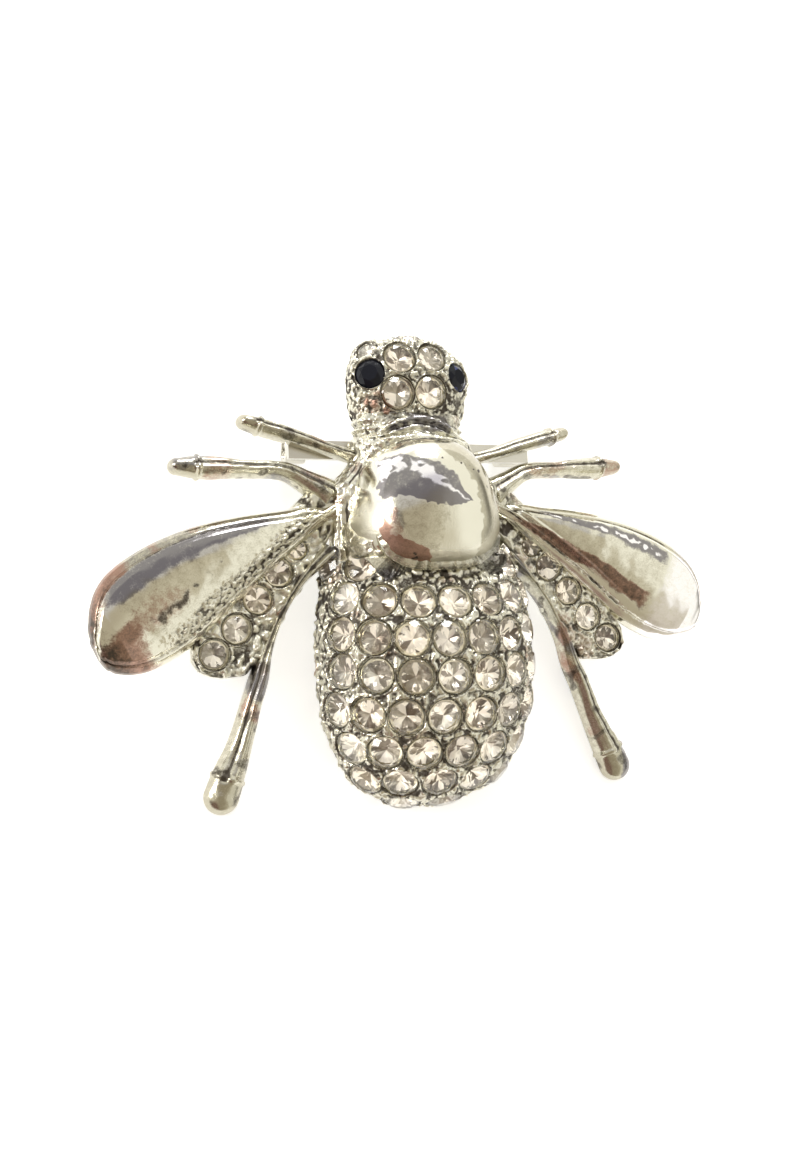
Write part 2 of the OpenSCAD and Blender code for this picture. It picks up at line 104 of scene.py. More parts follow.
# A smooth line through a table's points: cubic pieces whose slopes follow the neighbours.
def flow(at, table, column=1):
    xs, ys = table[:, 0], table[:, column]
    slope = np.gradient(ys, xs)
    i = np.clip(np.searchsorted(xs, at) - 1, 0, len(xs) - 2)
    gap = xs[i + 1] - xs[i]
    t = np.clip((at - xs[i]) / gap, 0, 1)
    return (
        (2 * t**3 - 3 * t**2 + 1) * ys[i] + (t**3 - 2 * t**2 + t) * gap * slope[i]
        + (3 * t**2 - 2 * t**3) * ys[i + 1] + (t**3 - t**2) * gap * slope[i + 1]
    )


# 1 inside an outline of a few points and 0 outside, easing over blur on each side of its edge: the
# distance to the nearest side, counted as positive inside.
def inOutline(x, y, outline, blur):
    corners = np.array(outline, float)
    apart, inside = np.full(np.shape(x), 99.0), np.zeros(np.shape(x), bool)
    for start, end in zip(corners, np.roll(corners, -1, 0)):
        side = end - start
        share = np.clip(((x - start[0]) * side[0] + (y - start[1]) * side[1]) / (side @ side), 0, 1)
        apart = np.minimum(apart, np.hypot(x - start[0] - share * side[0], y - start[1] - share * side[1]))
        crosses = (start[1] > y) != (end[1] > y)
        rise = side[1] if side[1] != 0 else 1e-9
        inside ^= crosses & (x < start[0] + (y - start[1]) * side[0] / rise)
    return ease(np.where(inside, apart, -apart), -blur, blur)


# The value's size raised to the power, with its sign kept.
def signedPower(value, power):
    return np.sign(value) * np.abs(value) ** power


# Rows with their first one, or both end ones, closed: a row of copies of the end's middle is added.
def closeEnds(rows, both=True):
    caps = [np.broadcast_to(row.mean(0), row.shape)[None] for row in (rows[0], rows[-1])]
    return np.concatenate([caps[0], rows, caps[1]] if both else [caps[0], rows])


# Marks of a whole skin: each pair is the outside's values, put in from row first on, and the number
# that all other points have.
def spreadMarks(rows, outer, first, pairs):
    marks = {}
    for key, (values, rest) in pairs.items():
        marks[key] = np.full(rows.shape[:2], rest, float)
        marks[key][first:first + outer.shape[0], :outer.shape[1]] = values
    return marks


# A closed silver skin from rows of points: quads between neighbouring rows and round each row. Rows
# that shrink to a point are welded shut, and each mark becomes a number on every point.
def makeSkin(name, rows, marks):
    m, n = rows.shape[:2]
    i, j = np.meshgrid(np.arange(m - 1), np.arange(n), indexing="ij")
    across = (j + 1) % n
    quads = np.stack([i * n + j, i * n + across, (i + 1) * n + across, (i + 1) * n + j], -1).reshape(-1, 4)
    flat = rows.reshape(-1, 3)
    a, b, c, d = (flat[quads[:, k]] for k in range(4))
    volume = np.einsum("ij,ij->", a, np.cross(b, c)) + np.einsum("ij,ij->", a, np.cross(c, d))
    if volume < 0:
        quads = quads[:, ::-1]
    laid = layDown(flat)
    laid[:, 2] = np.maximum(laid[:, 2], 0)  # nothing reaches below the table
    mesh = bpy.data.meshes.new(name)
    mesh.from_pydata(laid.tolist(), [], quads.tolist())
    for key, values in marks.items():
        full = np.broadcast_to(values, (m, n)).astype(np.float32)
        mesh.attributes.new(key, "FLOAT", "POINT").data.foreach_set("value", full.ravel())
    shape = bmesh.new()
    shape.from_mesh(mesh)
    bmesh.ops.remove_doubles(shape, verts=shape.verts, dist=4e-7)
    edges = [e for e in shape.edges if e.is_boundary]
    if edges:
        bmesh.ops.holes_fill(shape, edges=edges, sides=0)
    shape.to_mesh(mesh)
    shape.free()
    mesh.polygons.foreach_set("use_smooth", np.ones(len(mesh.polygons), bool))
    place(name, mesh, [silver], ("cast_body",))


# A mesh put into the scene with its materials: it rides on the part's one body, and the pieces it replaces are hidden.
def place(name, mesh, materials, stands):
    piece = bpy.data.objects.new(name, mesh)
    bpy.context.scene.collection.objects.link(piece)
    for material in materials:
        mesh.materials.append(material)
    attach(piece, "root")
    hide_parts(*stands)


# A material with an empty node tree.
def newMaterial(name):
    material = bpy.data.materials.new(name)
    material.use_nodes = True
    material.node_tree.nodes.clear()
    return material


# One node with its settings and inputs: a number or colour is set, a socket is joined.
def addNode(tree, kind, inputs=None, **settings):
    node = tree.nodes.new(kind)
    for key, value in settings.items():
        setattr(node, key, value)
    for key, value in (inputs or {}).items():
        if isinstance(value, bpy.types.NodeSocket):
            tree.links.new(value, node.inputs[key])
        else:
            node.inputs[key].default_value = value
    return node


# The first colour where the factor is 0, the second where it is 1.
def blend(tree, factor, first, second):
    return addNode(tree, "ShaderNodeMix", {0: factor, 6: first, 7: second}, data_type="RGBA").outputs[2]


# One arithmetic step on two or three values, named by kind.
def sums(tree, kind, a, b, c=0.0):
    return addNode(tree, "ShaderNodeMath", {0: a, 1: b, 2: c}, operation=kind).outputs[0]


# Noise with so many waves per millimetre.
def noiseAt(tree, point, scale, detail=3.0, rough=0.55, warp=0.0):
    inputs = {"Vector": point, "Scale": scale, "Detail": detail, "Roughness": rough, "Distortion": warp}
    return addNode(tree, "ShaderNodeTexNoise", inputs).outputs["Fac"]


# The smooth rise of ease, as a node.
def between(tree, value, low, high):
    inputs = {"Value": value, "From Min": low, "From Max": high}
    return addNode(tree, "ShaderNodeMapRange", inputs, interpolation_type="SMOOTHSTEP").outputs[0]


# Object coordinates in millimetres
def millimetres(tree):
    here = addNode(tree, "ShaderNodeTexCoord").outputs["Object"]
    return addNode(tree, "ShaderNodeVectorMath", {0: here, 3: 1000.0}, operation="SCALE").outputs[0]


# A mesh's own mark at the point
def readMark(tree, key):
    return addNode(tree, "ShaderNodeAttribute", attribute_name=key).outputs["Fac"]


# A bump whose height is given in millimetres
def bump(tree, strength, height):
    return addNode(tree, "ShaderNodeBump", {"Strength": strength, "Distance": 0.001, "Height": height}).outputs[0]


# One principled shader with the inputs is the material's surface.
def shade(material, inputs):
    surface = addNode(material.node_tree, "ShaderNodeBsdfPrincipled", inputs).outputs[0]
    addNode(material.node_tree, "ShaderNodeOutputMaterial", {"Surface": surface})
    return material


# Mark colours: lilac and olive also paint reflections, grime also paints the shade in hollows, and the near-white one
# is a painted highlight.
silverLook = {
    "plate": (0.86, 0.84, 0.73, 1), "olive": (0.50, 0.47, 0.37, 1), "lilac": (0.26, 0.246, 0.248, 1),
    "rust": (0.42, 0.265, 0.205, 1), "grimeAndShade": (0.09, 0.078, 0.065, 1), "highlight": (1.0, 0.98, 1.0, 1),
    "gloss": 0.09, "grainBump": 0.5,
}


# Worn silver plate: the plate's colour, then each marked colour with ragged edges, the olive, lilac and
# rust films, which on the dome and forewings also paint reflections, then grime, which also paints the
# shade of hollows, and the painted highlight white last; roughness rises with grain, grime and rubbing,
# and fine grain is a bump.
def silverMaterial(name, look):
    material = newMaterial(name)
    tree = material.node_tree
    point = millimetres(tree)
    ragged = noiseAt(tree, point, 2.2, 6.0, 0.62, 0.4)
    speck = noiseAt(tree, point, 9.0, 3.0, 0.6)
    drift = noiseAt(tree, point, 0.35, 2.0)
    colour = blend(tree, sums(tree, "MULTIPLY", drift, 0.25), look["plate"], look["olive"])
    for key in ("olive", "lilac", "rust", "grimeAndShade", "highlight"):
        mark = readMark(tree, key)
        push = sums(tree, "MULTIPLY_ADD", sums(tree, "SUBTRACT", ragged, 0.5), 0.9, mark)
        push = sums(tree, "MULTIPLY_ADD", sums(tree, "SUBTRACT", speck, 0.5), 0.6, push)
        cover = sums(tree, "MULTIPLY", between(tree, push, 0.18, 0.85), between(tree, mark, 0.02, 0.2))
        colour = blend(tree, cover, colour, look[key])
    grain = readMark(tree, "grain")
    rough = sums(tree, "MULTIPLY_ADD", grain, 0.16, look["gloss"])
    rough = sums(tree, "MULTIPLY_ADD", readMark(tree, "grimeAndShade"), 0.25, rough)
    rough = sums(tree, "MULTIPLY_ADD", noiseAt(tree, point, 1.4, 3.0), 0.08, rough)
    fine = sums(tree, "MULTIPLY", noiseAt(tree, point, 7.0, 4.0, 0.6), 0.06)
    swell = sums(tree, "MULTIPLY", noiseAt(tree, point, 0.9, 2.0), 0.012)
    return shade(material, {
        "Base Color": colour, "Metallic": 1.0, "Roughness": rough,
        "Normal": bump(tree, look["grainBump"], sums(tree, "MULTIPLY_ADD", grain, fine, swell)),
    })


silver = silverMaterial("wornSilver", silverLook)

# The foil's dull colour also paints dark facet reflections, and shine is a painted glow on the pale facets.
stoneLook = {
    "tint": (0.98, 0.94, 0.86, 1), "cool": (0.95, 0.95, 0.93, 1), "foil": (1.0, 0.96, 0.88, 1),
    "dull": (0.17, 0.12, 0.09, 1), "shine": (0.58, 0.54, 0.48, 1), "metal": 0.6,
}


# Clear champagne glass: its tint drifts from warm to cool from stone to stone, and its polish
# carries faint scratches.
def clearStoneMaterial(look):
    material = newMaterial("champagneGlass")
    tree = material.node_tree
    point = millimetres(tree)
    tint = blend(tree, readMark(tree, "tone"), look["tint"], look["cool"])
    tint = blend(tree, sums(tree, "MULTIPLY", noiseAt(tree, point, 1.5), 0.5), tint, look["tint"])
    return shade(material, {
        "Base Color": tint, "Roughness": sums(tree, "MULTIPLY", noiseAt(tree, point, 6.0), 0.03),
        "IOR": 1.56, "Transmission Weight": 1.0,
        "Normal": bump(tree, 0.15, sums(tree, "MULTIPLY", noiseAt(tree, point, 14.0, 4.0), 0.01)),
    })


# Foil on a stone's underside: metal mottled with its wear, dull facets by their random shade as
# painted dark reflections, and a faint glow on the palest facets, a painted highlight in place of the
# light that a real foil throws back.
def foilMaterial(look):
    material = newMaterial("stoneFoil")
    tree = material.node_tree
    point = millimetres(tree)
    facet = readMark(tree, "facet")
    worn = between(tree, noiseAt(tree, point, 3.0, 4.0), 0.5, 0.8)
    colour = blend(tree, facet, look["foil"], look["dull"])
    colour = blend(tree, sums(tree, "MULTIPLY", worn, 0.2), colour, look["dull"])
    colour = blend(tree, sums(tree, "MULTIPLY", readMark(tree, "tone"), 0.3), colour, look["cool"])
    return shade(material, {
        "Base Color": colour, "Metallic": look["metal"],
        "Roughness": sums(tree, "MULTIPLY_ADD", worn, 0.15, 0.12),
        "Normal": bump(tree, 0.2, sums(tree, "MULTIPLY", noiseAt(tree, point, 5.0), 0.03)),
        "Emission Color": blend(tree, between(tree, facet, 0.04, 0.3), look["shine"], (0, 0, 0, 1)),
        "Emission Strength": 1.0,
    })


eyeLook = {"deep": (0.003, 0.004, 0.007, 1), "navy": (0.007, 0.008, 0.015, 1), "flash": (0.035, 0.045, 0.14, 1)}


# Dark cut glass of the eyes: black to navy with a few bluer facets as painted reflection flashes, and a hard polish.
def darkStoneMaterial(look):
    material = newMaterial("navyGlass")
    tree = material.node_tree
    point = millimetres(tree)
    colour = blend(tree, noiseAt(tree, point, 0.8), look["deep"], look["navy"])
    colour = blend(tree, between(tree, readMark(tree, "facet"), 0.62, 0.95), colour, look["flash"])
    return shade(material, {
        "Base Color": colour, "Roughness": sums(tree, "MULTIPLY_ADD", noiseAt(tree, point, 5.0), 0.05, 0.02),
        "IOR": 1.5, "Specular IOR Level": 0.3,
        "Normal": bump(tree, 0.1, sums(tree, "MULTIPLY", noiseAt(tree, point, 12.0), 0.01)),
    })


champagneGlass = clearStoneMaterial(stoneLook)
stoneFoil = foilMaterial(stoneLook)
navyGlass = darkStoneMaterial(eyeLook)
print("materials mixed")

abdomen = {
    "length": 16.8, "width": 17.0, "height": 7.7, "wideAt": 5.5, "lift": 0.35, "wall": 1.7, "tuck": 1.5,
    "pinch": 0.1, "drop": 0.36, "lean": 0.02, "archPower": 2.22, "tailPlan": 2.45, "tailRise": 2.15,
    "rows": 250, "across": 330, "inside": 50, "frontPart": 0.30, "shutter": 1.5, "foot": 0.25,
    "stone": 2.55, "swell": 0.12, "rim": 0.03, "valley": 0.20, "grainSize": 0.62, "grainHeight": 0.25,
    "darkening": 0.85,
}
# Rows of stones: place behind the waist, spacing, shift, first and last counted from the middle
stoneRows = [
    (-0.8, 2.95, -0.3, -3, -2), (-0.8, 2.95, 0.3, 2, 3), (1.8, 2.78, 0.1, -3, 3),
    (4.55, 2.76, -0.75, -3, 3), (7.25, 2.87, -0.45, -3, 4), (10.1, 2.85, -1.1, -3, 4),
    (12.7, 2.88, 0.53, -3, 2), (14.9, 3, -0.6, -2, 2), (16.45, 3.35, 0.75, -1, 0),
]


# Share of the full section left at y: a rounded tail behind the widest place, a slight fall ahead.
def abdomenShare(y, inset, power, fall):
    behind = (-abdomen["wideAt"] - y) / (abdomen["length"] - inset - abdomen["wideAt"])
    tail = np.maximum(0, 1 - np.clip(behind, 0, 1) ** power) ** (1 / power)
    ahead = 1 - fall * ((y + abdomen["wideAt"]) / (abdomen["wideAt"] + abdomen["tuck"])) ** 2
    return np.where(behind > 0, tail, ahead)


# Abdomen's surface at y and turn a (degrees): a rounded arch over the section, scaled by the share.
def abdomenPoint(y, a, inset=0.0):
    y, a = np.broadcast_arrays(np.asarray(y, float), np.radians(np.asarray(a, float)))
    half = (abdomen["width"] / 2 - inset) * abdomenShare(y, inset, abdomen["tailPlan"], abdomen["pinch"])
    rise = (abdomen["height"] - inset) * abdomenShare(y, inset, abdomen["tailRise"], abdomen["drop"])
    x = abdomen["lean"] * y - half * signedPower(np.cos(a), 2 / abdomen["archPower"])
    z = abdomen["lift"] + rise * np.abs(np.sin(a)) ** (2 / abdomen["archPower"])
    return np.stack([x, y, z], -1)


# Unit normal of the abdomen from two small steps over its surface.
def abdomenNormal(y, a):
    alongY = abdomenPoint(y - 0.01, a) - abdomenPoint(y + 0.01, a)
    alongA = abdomenPoint(y, a + 0.01) - abdomenPoint(y, a - 0.01)
    normal = np.cross(alongY, alongA)
    return normal / np.linalg.norm(normal, axis=-1, keepdims=True)


# Place and normal of each stone: spacing counts as length round the section at its row.
def abdomenSeats():
    turns = np.arange(0, 180.01, 0.5)
    seats = []
    for behind, pitch, shift, first, last in stoneRows:
        for k in range(first, last + 1):
            s = pitch * k + shift
            y = -behind + 0.009 * s * s
            line = abdomenPoint(y, turns)
            length = np.concatenate([[0], np.cumsum(np.linalg.norm(np.diff(line, axis=0), axis=-1))])
            a = np.interp(np.interp(90, turns, length) + s, length, turns)
            seats.append(np.concatenate([abdomenPoint(y, a), abdomenNormal(y, a)]))
    return np.array(seats)


# Metal round set stones: under a stone a bowl, at its edge a dark gap and a thin rim, then a low
# ground of grains, darkened between the grains as dark oxide that also paints their shade. Gives the
# moved points and the marks for grime, with that painted shade, and grain.
def setStones(points, seats, radii, look, seed):
    offset = points[..., None, :] - seats[:, :3]
    height = np.einsum("...ki,ki->...k", offset, seats[:, 3:])
    apart = np.sqrt(np.maximum(0, (offset**2).sum(-1) - height**2))
    edge = np.where(np.abs(height) < 1.6, apart - radii, 9.0)
    near = edge.argmin(-1)
    edge = np.take_along_axis(edge, near[..., None], -1)[..., 0]
    height = np.take_along_axis(height, near[..., None], -1)[..., 0]
    seatNormal, radius = seats[near, 3:], radii[near]
    bowl = -0.16 - 1.05 * radius * ease(-edge, 0.0, radius * 1.1)
    rim = look["rim"] * (1 + 1.5 * softNoise(points, 0.45, seed))
    bead = grains(points, look["grainSize"], seed)
    ragged = softNoise(points, 0.24, seed + 3)
    ground = -look["valley"] + look["grainHeight"] * bead + 0.09 * ragged
    lip = -0.12 + (rim + 0.12) * ease(edge, 0.0, 0.05)
    level = np.where(edge < 0, bowl, lip + (ground - lip) * ease(edge, 0.04, 0.16))
    hold = 1 - ease(edge, 0.25, 0.9)
    move = level - height * hold * (edge < 2)
    moved = points + seatNormal * np.where(edge < 0, level - height, move)[..., None] * (edge < 3)[..., None]
    dark = 1 - ease(np.abs(edge), 0.02, 0.055)
    # Between the grains the metal is darkened: dark oxide, and painted shade of the hollows.
    dark = np.maximum(dark, look["darkening"] * (1 - 1.35 * ease(bead + 0.45 * ragged, 0.1, 0.65)) * ease(edge, 0.03, 0.08))
    dark = np.clip(dark + 0.35 * softNoise(points, 1.1, seed + 9), 0, 1)
    return moved, dark, ease(edge, 0.15, 0.3), edge


# Outer skin displaced by the stones, rounded rim below, inner wall back over the hollow, and a
# shutter in front; rows stand closer towards the tail.
def makeAbdomen():
    u, frontPart = np.linspace(0, 1, abdomen["rows"]), abdomen["frontPart"]
    behind = np.sin(np.radians(90) * np.clip((u - frontPart) / (1 - frontPart), 0, 1))
    ahead = 1 - np.clip(u / frontPart, 0, 1)
    def stations(inset):
        tail = abdomen["length"] - inset - abdomen["wideAt"]
        return (-abdomen["wideAt"] + ahead * (abdomen["wideAt"] + abdomen["tuck"]) - behind * tail)[:, None]
    over = np.linspace(0, 180, abdomen["across"])[None, :]
    back = np.linspace(180, 0, abdomen["inside"])[None, :]
    seats = abdomenSeats()
    radii = np.full(len(seats), abdomen["stone"] / 2 + abdomen["swell"])
    outer, grimeAndShade, grain, edge = setStones(abdomenPoint(stations(0), over), seats, radii, abdomen, 5)
    outer[..., 2] = np.maximum(outer[..., 2], abdomen["foot"])
    inner = abdomenPoint(stations(abdomen["wall"]), back, abdomen["wall"]) - [0, 0, 0.1]
    shutter = abdomenPoint(abdomen["shutter"], np.concatenate([over, back], 1), abdomen["wall"])
    rows = np.concatenate([shutter, np.concatenate([outer, inner], 1)])
    rows[..., 2] = np.maximum(rows[..., 2], abdomen["foot"])
    rust = 0.5 * ease(softNoise(outer, 1.9, 21), 0.25, 0.7) * (edge > 0.08)
    lilac = 0.35 * ease(softNoise(outer, 2.0, 33), 0.2, 0.6) * (edge > 0.1)
    olive = 0.42 + 0.15 * (1 - ease(outer[..., 2], 0.3, 2.5))
    makeSkin("abdomenShell", rows, spreadMarks(rows, outer, 1, {
        "grimeAndShade": (grimeAndShade, 0.12), "grain": (grain, 0.6), "rust": (rust, 0.0), "lilac": (lilac, 0.0),
        "olive": (olive, 0.35)}))


makeAbdomen()
print("abdomen shell")

# A stone of width 1, as shares of that width, then how it sits and how its facets share painted pale and dark
# reflections
stoneCut = {
    "table": 0.28, "crown": 0.15, "star": 0.405, "starUp": 0.085, "girdle": 0.035, "pavilion": 0.36,
    "sink": 0.13, "tip": 0.035, "pale": 0.44, "middling": 0.73,
}


# Brilliant-cut stone of width 1: an eight-sided table, star, kite and girdle facets above, kite and
# halving facets down to the point below. The first faces, as many as clear says, are the crown.
def brilliant():
    step = np.radians(22.5) * np.arange(16)
    def ring(radius, level, picks):
        return np.stack([radius * np.cos(step[picks]), radius * np.sin(step[picks]), np.full(8, level)], -1)
    evens, odds, girdle, pavilion = np.arange(0, 16, 2), np.arange(1, 16, 2), stoneCut["girdle"], stoneCut["pavilion"]
    girdleTop = np.stack([0.5 * np.cos(step), 0.5 * np.sin(step), np.full(16, 0.0)], -1)
    points = np.concatenate([
        ring(stoneCut["table"], stoneCut["crown"], evens), ring(stoneCut["star"], stoneCut["starUp"], odds),
        girdleTop, girdleTop - [0, 0, girdle], ring(0.2, -girdle - 0.58 * (pavilion - girdle), odds),
        [[0, 0, -pavilion]],
    ])
    table, middle, upper, lower, low, tip = 0, 8, 16, 32, 48, 56
    faces = [[table + k for k in range(8)]]
    for k in range(8):
        n, g = (k + 1) % 8, 2 * k
        faces.append([table + k, middle + k, table + n])
        faces.append([table + k, middle + (k - 1) % 8, upper + g, middle + k])
        faces.append([middle + k, upper + g, upper + g + 1])
        faces.append([middle + k, upper + g + 1, upper + (g + 2) % 16])
    clear = len(faces)
    for j in range(16):
        faces.append([upper + j, lower + j, lower + (j + 1) % 16, upper + (j + 1) % 16])
    for k in range(8):
        g = 2 * k
        faces.append([tip, low + k, lower + g, low + (k - 1) % 8])
        faces.append([low + k, lower + g + 1, lower + g])
        faces.append([low + k, lower + (g + 2) % 16, lower + g + 1])
    return points, faces, clear


# Stones put into their seats: each is turned to its seat's normal, spun and tipped a little by a
# steady random number, and sunk to its girdle. Each facet gets a random shade, pale to dark, a painted
# reflection of the light and dark inside a cut stone.
def makeStones(name, seats, widths, node, materials, seed, shadeTop=1.0):
    points, faces, clear = brilliant()
    count = len(seats)
    dice = np.random.default_rng(seed).random((count, 4))
    normal = seats[:, 3:] + stoneCut["tip"] * (dice[:, :3] - 0.5) * 2
    normal = normal / np.linalg.norm(normal, axis=-1, keepdims=True)
    side = np.cross(normal, [0.3, 0.9, 0.1])
    side = side / np.linalg.norm(side, axis=-1, keepdims=True)
    other = np.cross(normal, side)
    spin = 2 * np.pi * dice[:, 3:]
    axisA = side * np.cos(spin) + other * np.sin(spin)
    axes = np.stack([axisA, np.cross(normal, axisA), normal], 1)
    put = np.einsum("vi,kij->kvj", points, axes) * np.asarray(widths)[:, None, None]
    put = put + (seats[:, :3] - stoneCut["sink"] * seats[:, 3:])[:, None, :]
    every = [[v + k * len(points) for v in face] for k in range(count) for face in faces]
    mesh = bpy.data.meshes.new(name)
    mesh.from_pydata(layDown(put.reshape(-1, 3)).tolist(), [], every)
    tone = np.repeat(dice[:, 0] ** 2, len(points)).astype(np.float32)
    mesh.attributes.new("tone", "FLOAT", "POINT").data.foreach_set("value", tone)
    pick, amount = np.random.default_rng(seed + 500).random((2, count * len(faces)))
    shades = np.select(
        [pick < stoneCut["pale"], pick < stoneCut["middling"]],
        [0.2 * amount, 0.25 + 0.25 * amount], 0.6 + 0.4 * amount)
    mesh.attributes.new("facet", "FLOAT", "FACE").data.foreach_set("value", (shades * shadeTop).astype(np.float32))
    if len(materials) == 2:
        foiled = np.tile((np.arange(len(faces)) >= clear).astype(np.int32), count)
        mesh.polygons.foreach_set("material_index", foiled)
    shape = bmesh.new()
    shape.from_mesh(mesh)
    bmesh.ops.recalc_face_normals(shape, faces=shape.faces)
    shape.to_mesh(mesh)
    shape.free()
    place(name, mesh, materials, (node,))


clearPair = [champagneGlass, stoneFoil]
abdomenSeatList = abdomenSeats()
abdomenWidths = np.full(len(abdomenSeatList), abdomen["stone"] + 2 * abdomen["swell"])
makeStones("abdomenBrilliants", abdomenSeatList, abdomenWidths, "abdomen_stones", clearPair, 7)
print("abdomen stones set")

thorax = {
    "length": 10.4, "width": 10.9, "top": 8.2, "floor": 2.1, "x": -0.4, "y": 5.5, "taper": 0.18,
    "planPower": 2.6, "risePower": 2.7, "wall": 1.7, "around": 360, "down": 130,
}


# Rounded plan outline: a boxy ellipse narrowed towards +y, with even steps round it.
def planLine(halfX, halfY, taper, power, count):
    a = np.linspace(0, 2 * np.pi, 4 * count, endpoint=False)
    x = halfX * signedPower(np.cos(a), 2 / power)
    y = halfY * signedPower(np.sin(a), 2 / power)
    line = np.stack([x * (1 - taper * y / halfY), y], -1)
    closed = np.concatenate([line, line[:1]])
    length = np.concatenate([[0], np.cumsum(np.linalg.norm(np.diff(closed, axis=0), axis=-1))])
    even = np.linspace(0, length[-1], count, endpoint=False)
    return np.stack([np.interp(even, length, closed[:, k]) for k in (0, 1)], -1)


# Even steps over a boxy quarter arch, from its top (reach 0, height 1) to its foot (reach 1, 0).
def archLine(power, count):
    e = np.radians(90) * np.linspace(1, 0, 2000)
    reach, level = np.cos(e) ** (2 / power), np.sin(e) ** (2 / power)
    length = np.concatenate([[0], np.cumsum(np.hypot(np.diff(reach), np.diff(level)))])
    even = np.linspace(0, length[-1], count)
    reach, level = np.interp(even, length, reach), np.interp(even, length, level)
    reach[0] = 0
    return reach, level


# Rows of a dome over its plan outline, top first, drawn in by inset on every side.
def domeRows(shape, inset, count):
    halfX, halfY = shape["width"] / 2 - inset, shape["length"] / 2 - inset
    line = planLine(halfX, halfY, shape["taper"], shape["planPower"], shape["around"])
    reach, level = archLine(shape["risePower"], count)
    rows = np.empty((count, shape["around"], 3))
    rows[..., :2] = line * reach[:, None, None] + [shape["x"], shape["y"]]
    rows[..., 2] = shape["floor"] + (shape["top"] - inset - shape["floor"]) * level[:, None]
    return rows


# Painted reflections on the dome, with worn plating in the brown and warm patches: how far each mark's
# edge eases, then its outline in the brooch's x and y. The band is the lilac reflection arc, and the
# white outlines left and right are painted highlights.
domeMarks = {
    "band": (0.1, [
        (-5.2, 6.8), (-4.9, 7.9), (-4.3, 8.7), (-3.7, 9.0), (-3.0, 8.8), (-2.0, 8.5), (-0.9, 8.0), (-0.1, 7.3),
        (0.6, 6.3), (1.3, 5.3), (0.0, 4.9), (-1.9, 5.2), (-3.6, 5.6), (-4.8, 5.6)]),
    "highlightLeft": (0.15, [
        (-5.2, 7.0), (-5.0, 7.9), (-4.3, 8.6), (-3.4, 8.7), (-3.3, 7.9), (-3.7, 7.4), (-4.5, 7.0)]),
    "highlightRight": (0.2, [
        (-2.9, 8.5), (-2.0, 8.1), (-0.7, 7.1), (0.0, 6.1), (0.8, 5.3), (-0.5, 6.1), (-2.2, 6.9), (-3.0, 7.5)]),
    "beige": (0.15, [
        (-5.2, 5.6), (0.0, 4.9), (-0.5, 3.8), (-0.8, 2.8), (-1.0, 1.7), (-1.0, -1.0), (-1.6, -1.0), (-2.0, 1.5),
        (-3.0, 2.2), (-3.7, 2.9), (-3.9, 4.3), (-5.1, 5.0)]),
    "warm": (0.2, [(-5.1, 5.0), (-4.1, 4.7), (-3.9, 3.2), (-3.6, 2.2), (-4.7, 2.3), (-5.2, 3.5)]),
    "blotch": (0.2, [(-4.6, 4.5), (-3.8, 4.4), (-3.5, 3.6), (-4.0, 3.2), (-4.5, 3.6)]),
    "brown": (0.12, [
        (-5.0, 4.1), (-4.6, 3.5), (-4.4, 2.9), (-3.5, 2.7), (-2.8, 2.3), (-1.6, 1.6), (-0.9, 0.6), (-0.9, -1.2),
        (-4.4, -1.2), (-5.0, 1.2)]),
    "rightSide": (0.15, [
        (-0.9, 9.9), (-0.1, 8.9), (0.9, 7.9), (1.7, 6.5), (2.1, 4.8), (2.3, 3.0), (2.3, -1.0), (6.0, -1.0),
        (6.0, 9.9)]),
}


# Polished dome over its outline, slightly uneven, with the hollow's wall inside it. Its painted
# reflections and highlights, with the worn plating of the brown patch, are the outlines with torn edges;
# grime lies in flecks, it is darker round the rear foot, and the top is duller.
def makeThorax():
    outer = domeRows(thorax, 0, thorax["down"])
    floor, tall = thorax["floor"], thorax["top"] - thorax["floor"]
    outer[..., 2] += 0.05 * (softNoise(outer, 3.1, 41) - 1) * ease((outer[..., 2] - floor) / tall, 0.2, 0.8)
    x = outer[..., 0] + 0.28 * softNoise(outer, 0.8, 43) + 0.16 * softNoise(outer, 0.3, 44)
    y = outer[..., 1] + 0.22 * softNoise(outer, 0.6, 45) + 0.14 * softNoise(outer, 0.26, 46)
    tintMask = {key: inOutline(x, y, outline, blur) for key, (blur, outline) in domeMarks.items()}
    # The band is a painted lilac reflection; the white marks on it are painted highlights.
    band = tintMask["band"] * (0.72 + 0.28 * ease(-y, -6.6, -5.4))
    highlight = np.maximum(tintMask["highlightLeft"], tintMask["highlightRight"])
    highlight = highlight * ease(softNoise(outer * [1, 1.6, 1], 0.45, 47), -0.85, -0.2)
    fleck = ease(softNoise(outer, 0.22, 48), 0.35, 0.6) * (
        ease(-np.abs(np.hypot(x + 1.0, y - 3.2) - 5.2), -0.35, -0.05) * (y > 5.4) * (x > -4.4)
        + ease(-np.hypot((x + 2.6) / 1.3, (y - 1.1) / 0.6), -1.0, -0.6) + ease(-y, -1.3, -0.7))
    share = (outer[..., 2] - floor) / tall
    dull = 1.3 * ease(-share, -0.93, -0.75) * ease(-y, -6.5, -3.5)
    foot = ease(-share, -0.82, -0.7) * ease(-outer[..., 1], -0.9, -0.5) * ease(softNoise(outer, 0.7, 50), -0.5, 0.2)
    rows = np.concatenate([outer, domeRows(thorax, thorax["wall"], 30)[::-1]])
    makeSkin("thoraxDome", rows, spreadMarks(rows, outer, 0, {
        "olive": (np.clip(0.42 * tintMask["beige"] + 0.4 * tintMask["blotch"] + 0.8 * tintMask["rightSide"], 0, 1), 0.4),
        "lilac": (np.clip(1.1 * band + 0.6 * tintMask["blotch"], 0, 1.1), 0.0), "highlight": (1.25 * highlight * band, 0.0),
        "rust": (1.4 * tintMask["brown"] + 0.5 * tintMask["warm"], 0.0),
        "grimeAndShade": (np.clip(0.9 * fleck + 0.7 * foot + 0.3 * tintMask["brown"], 0, 1), 0.12), "grain": (0.08 + dull, 0.6)}))


makeThorax()
print("thorax dome")

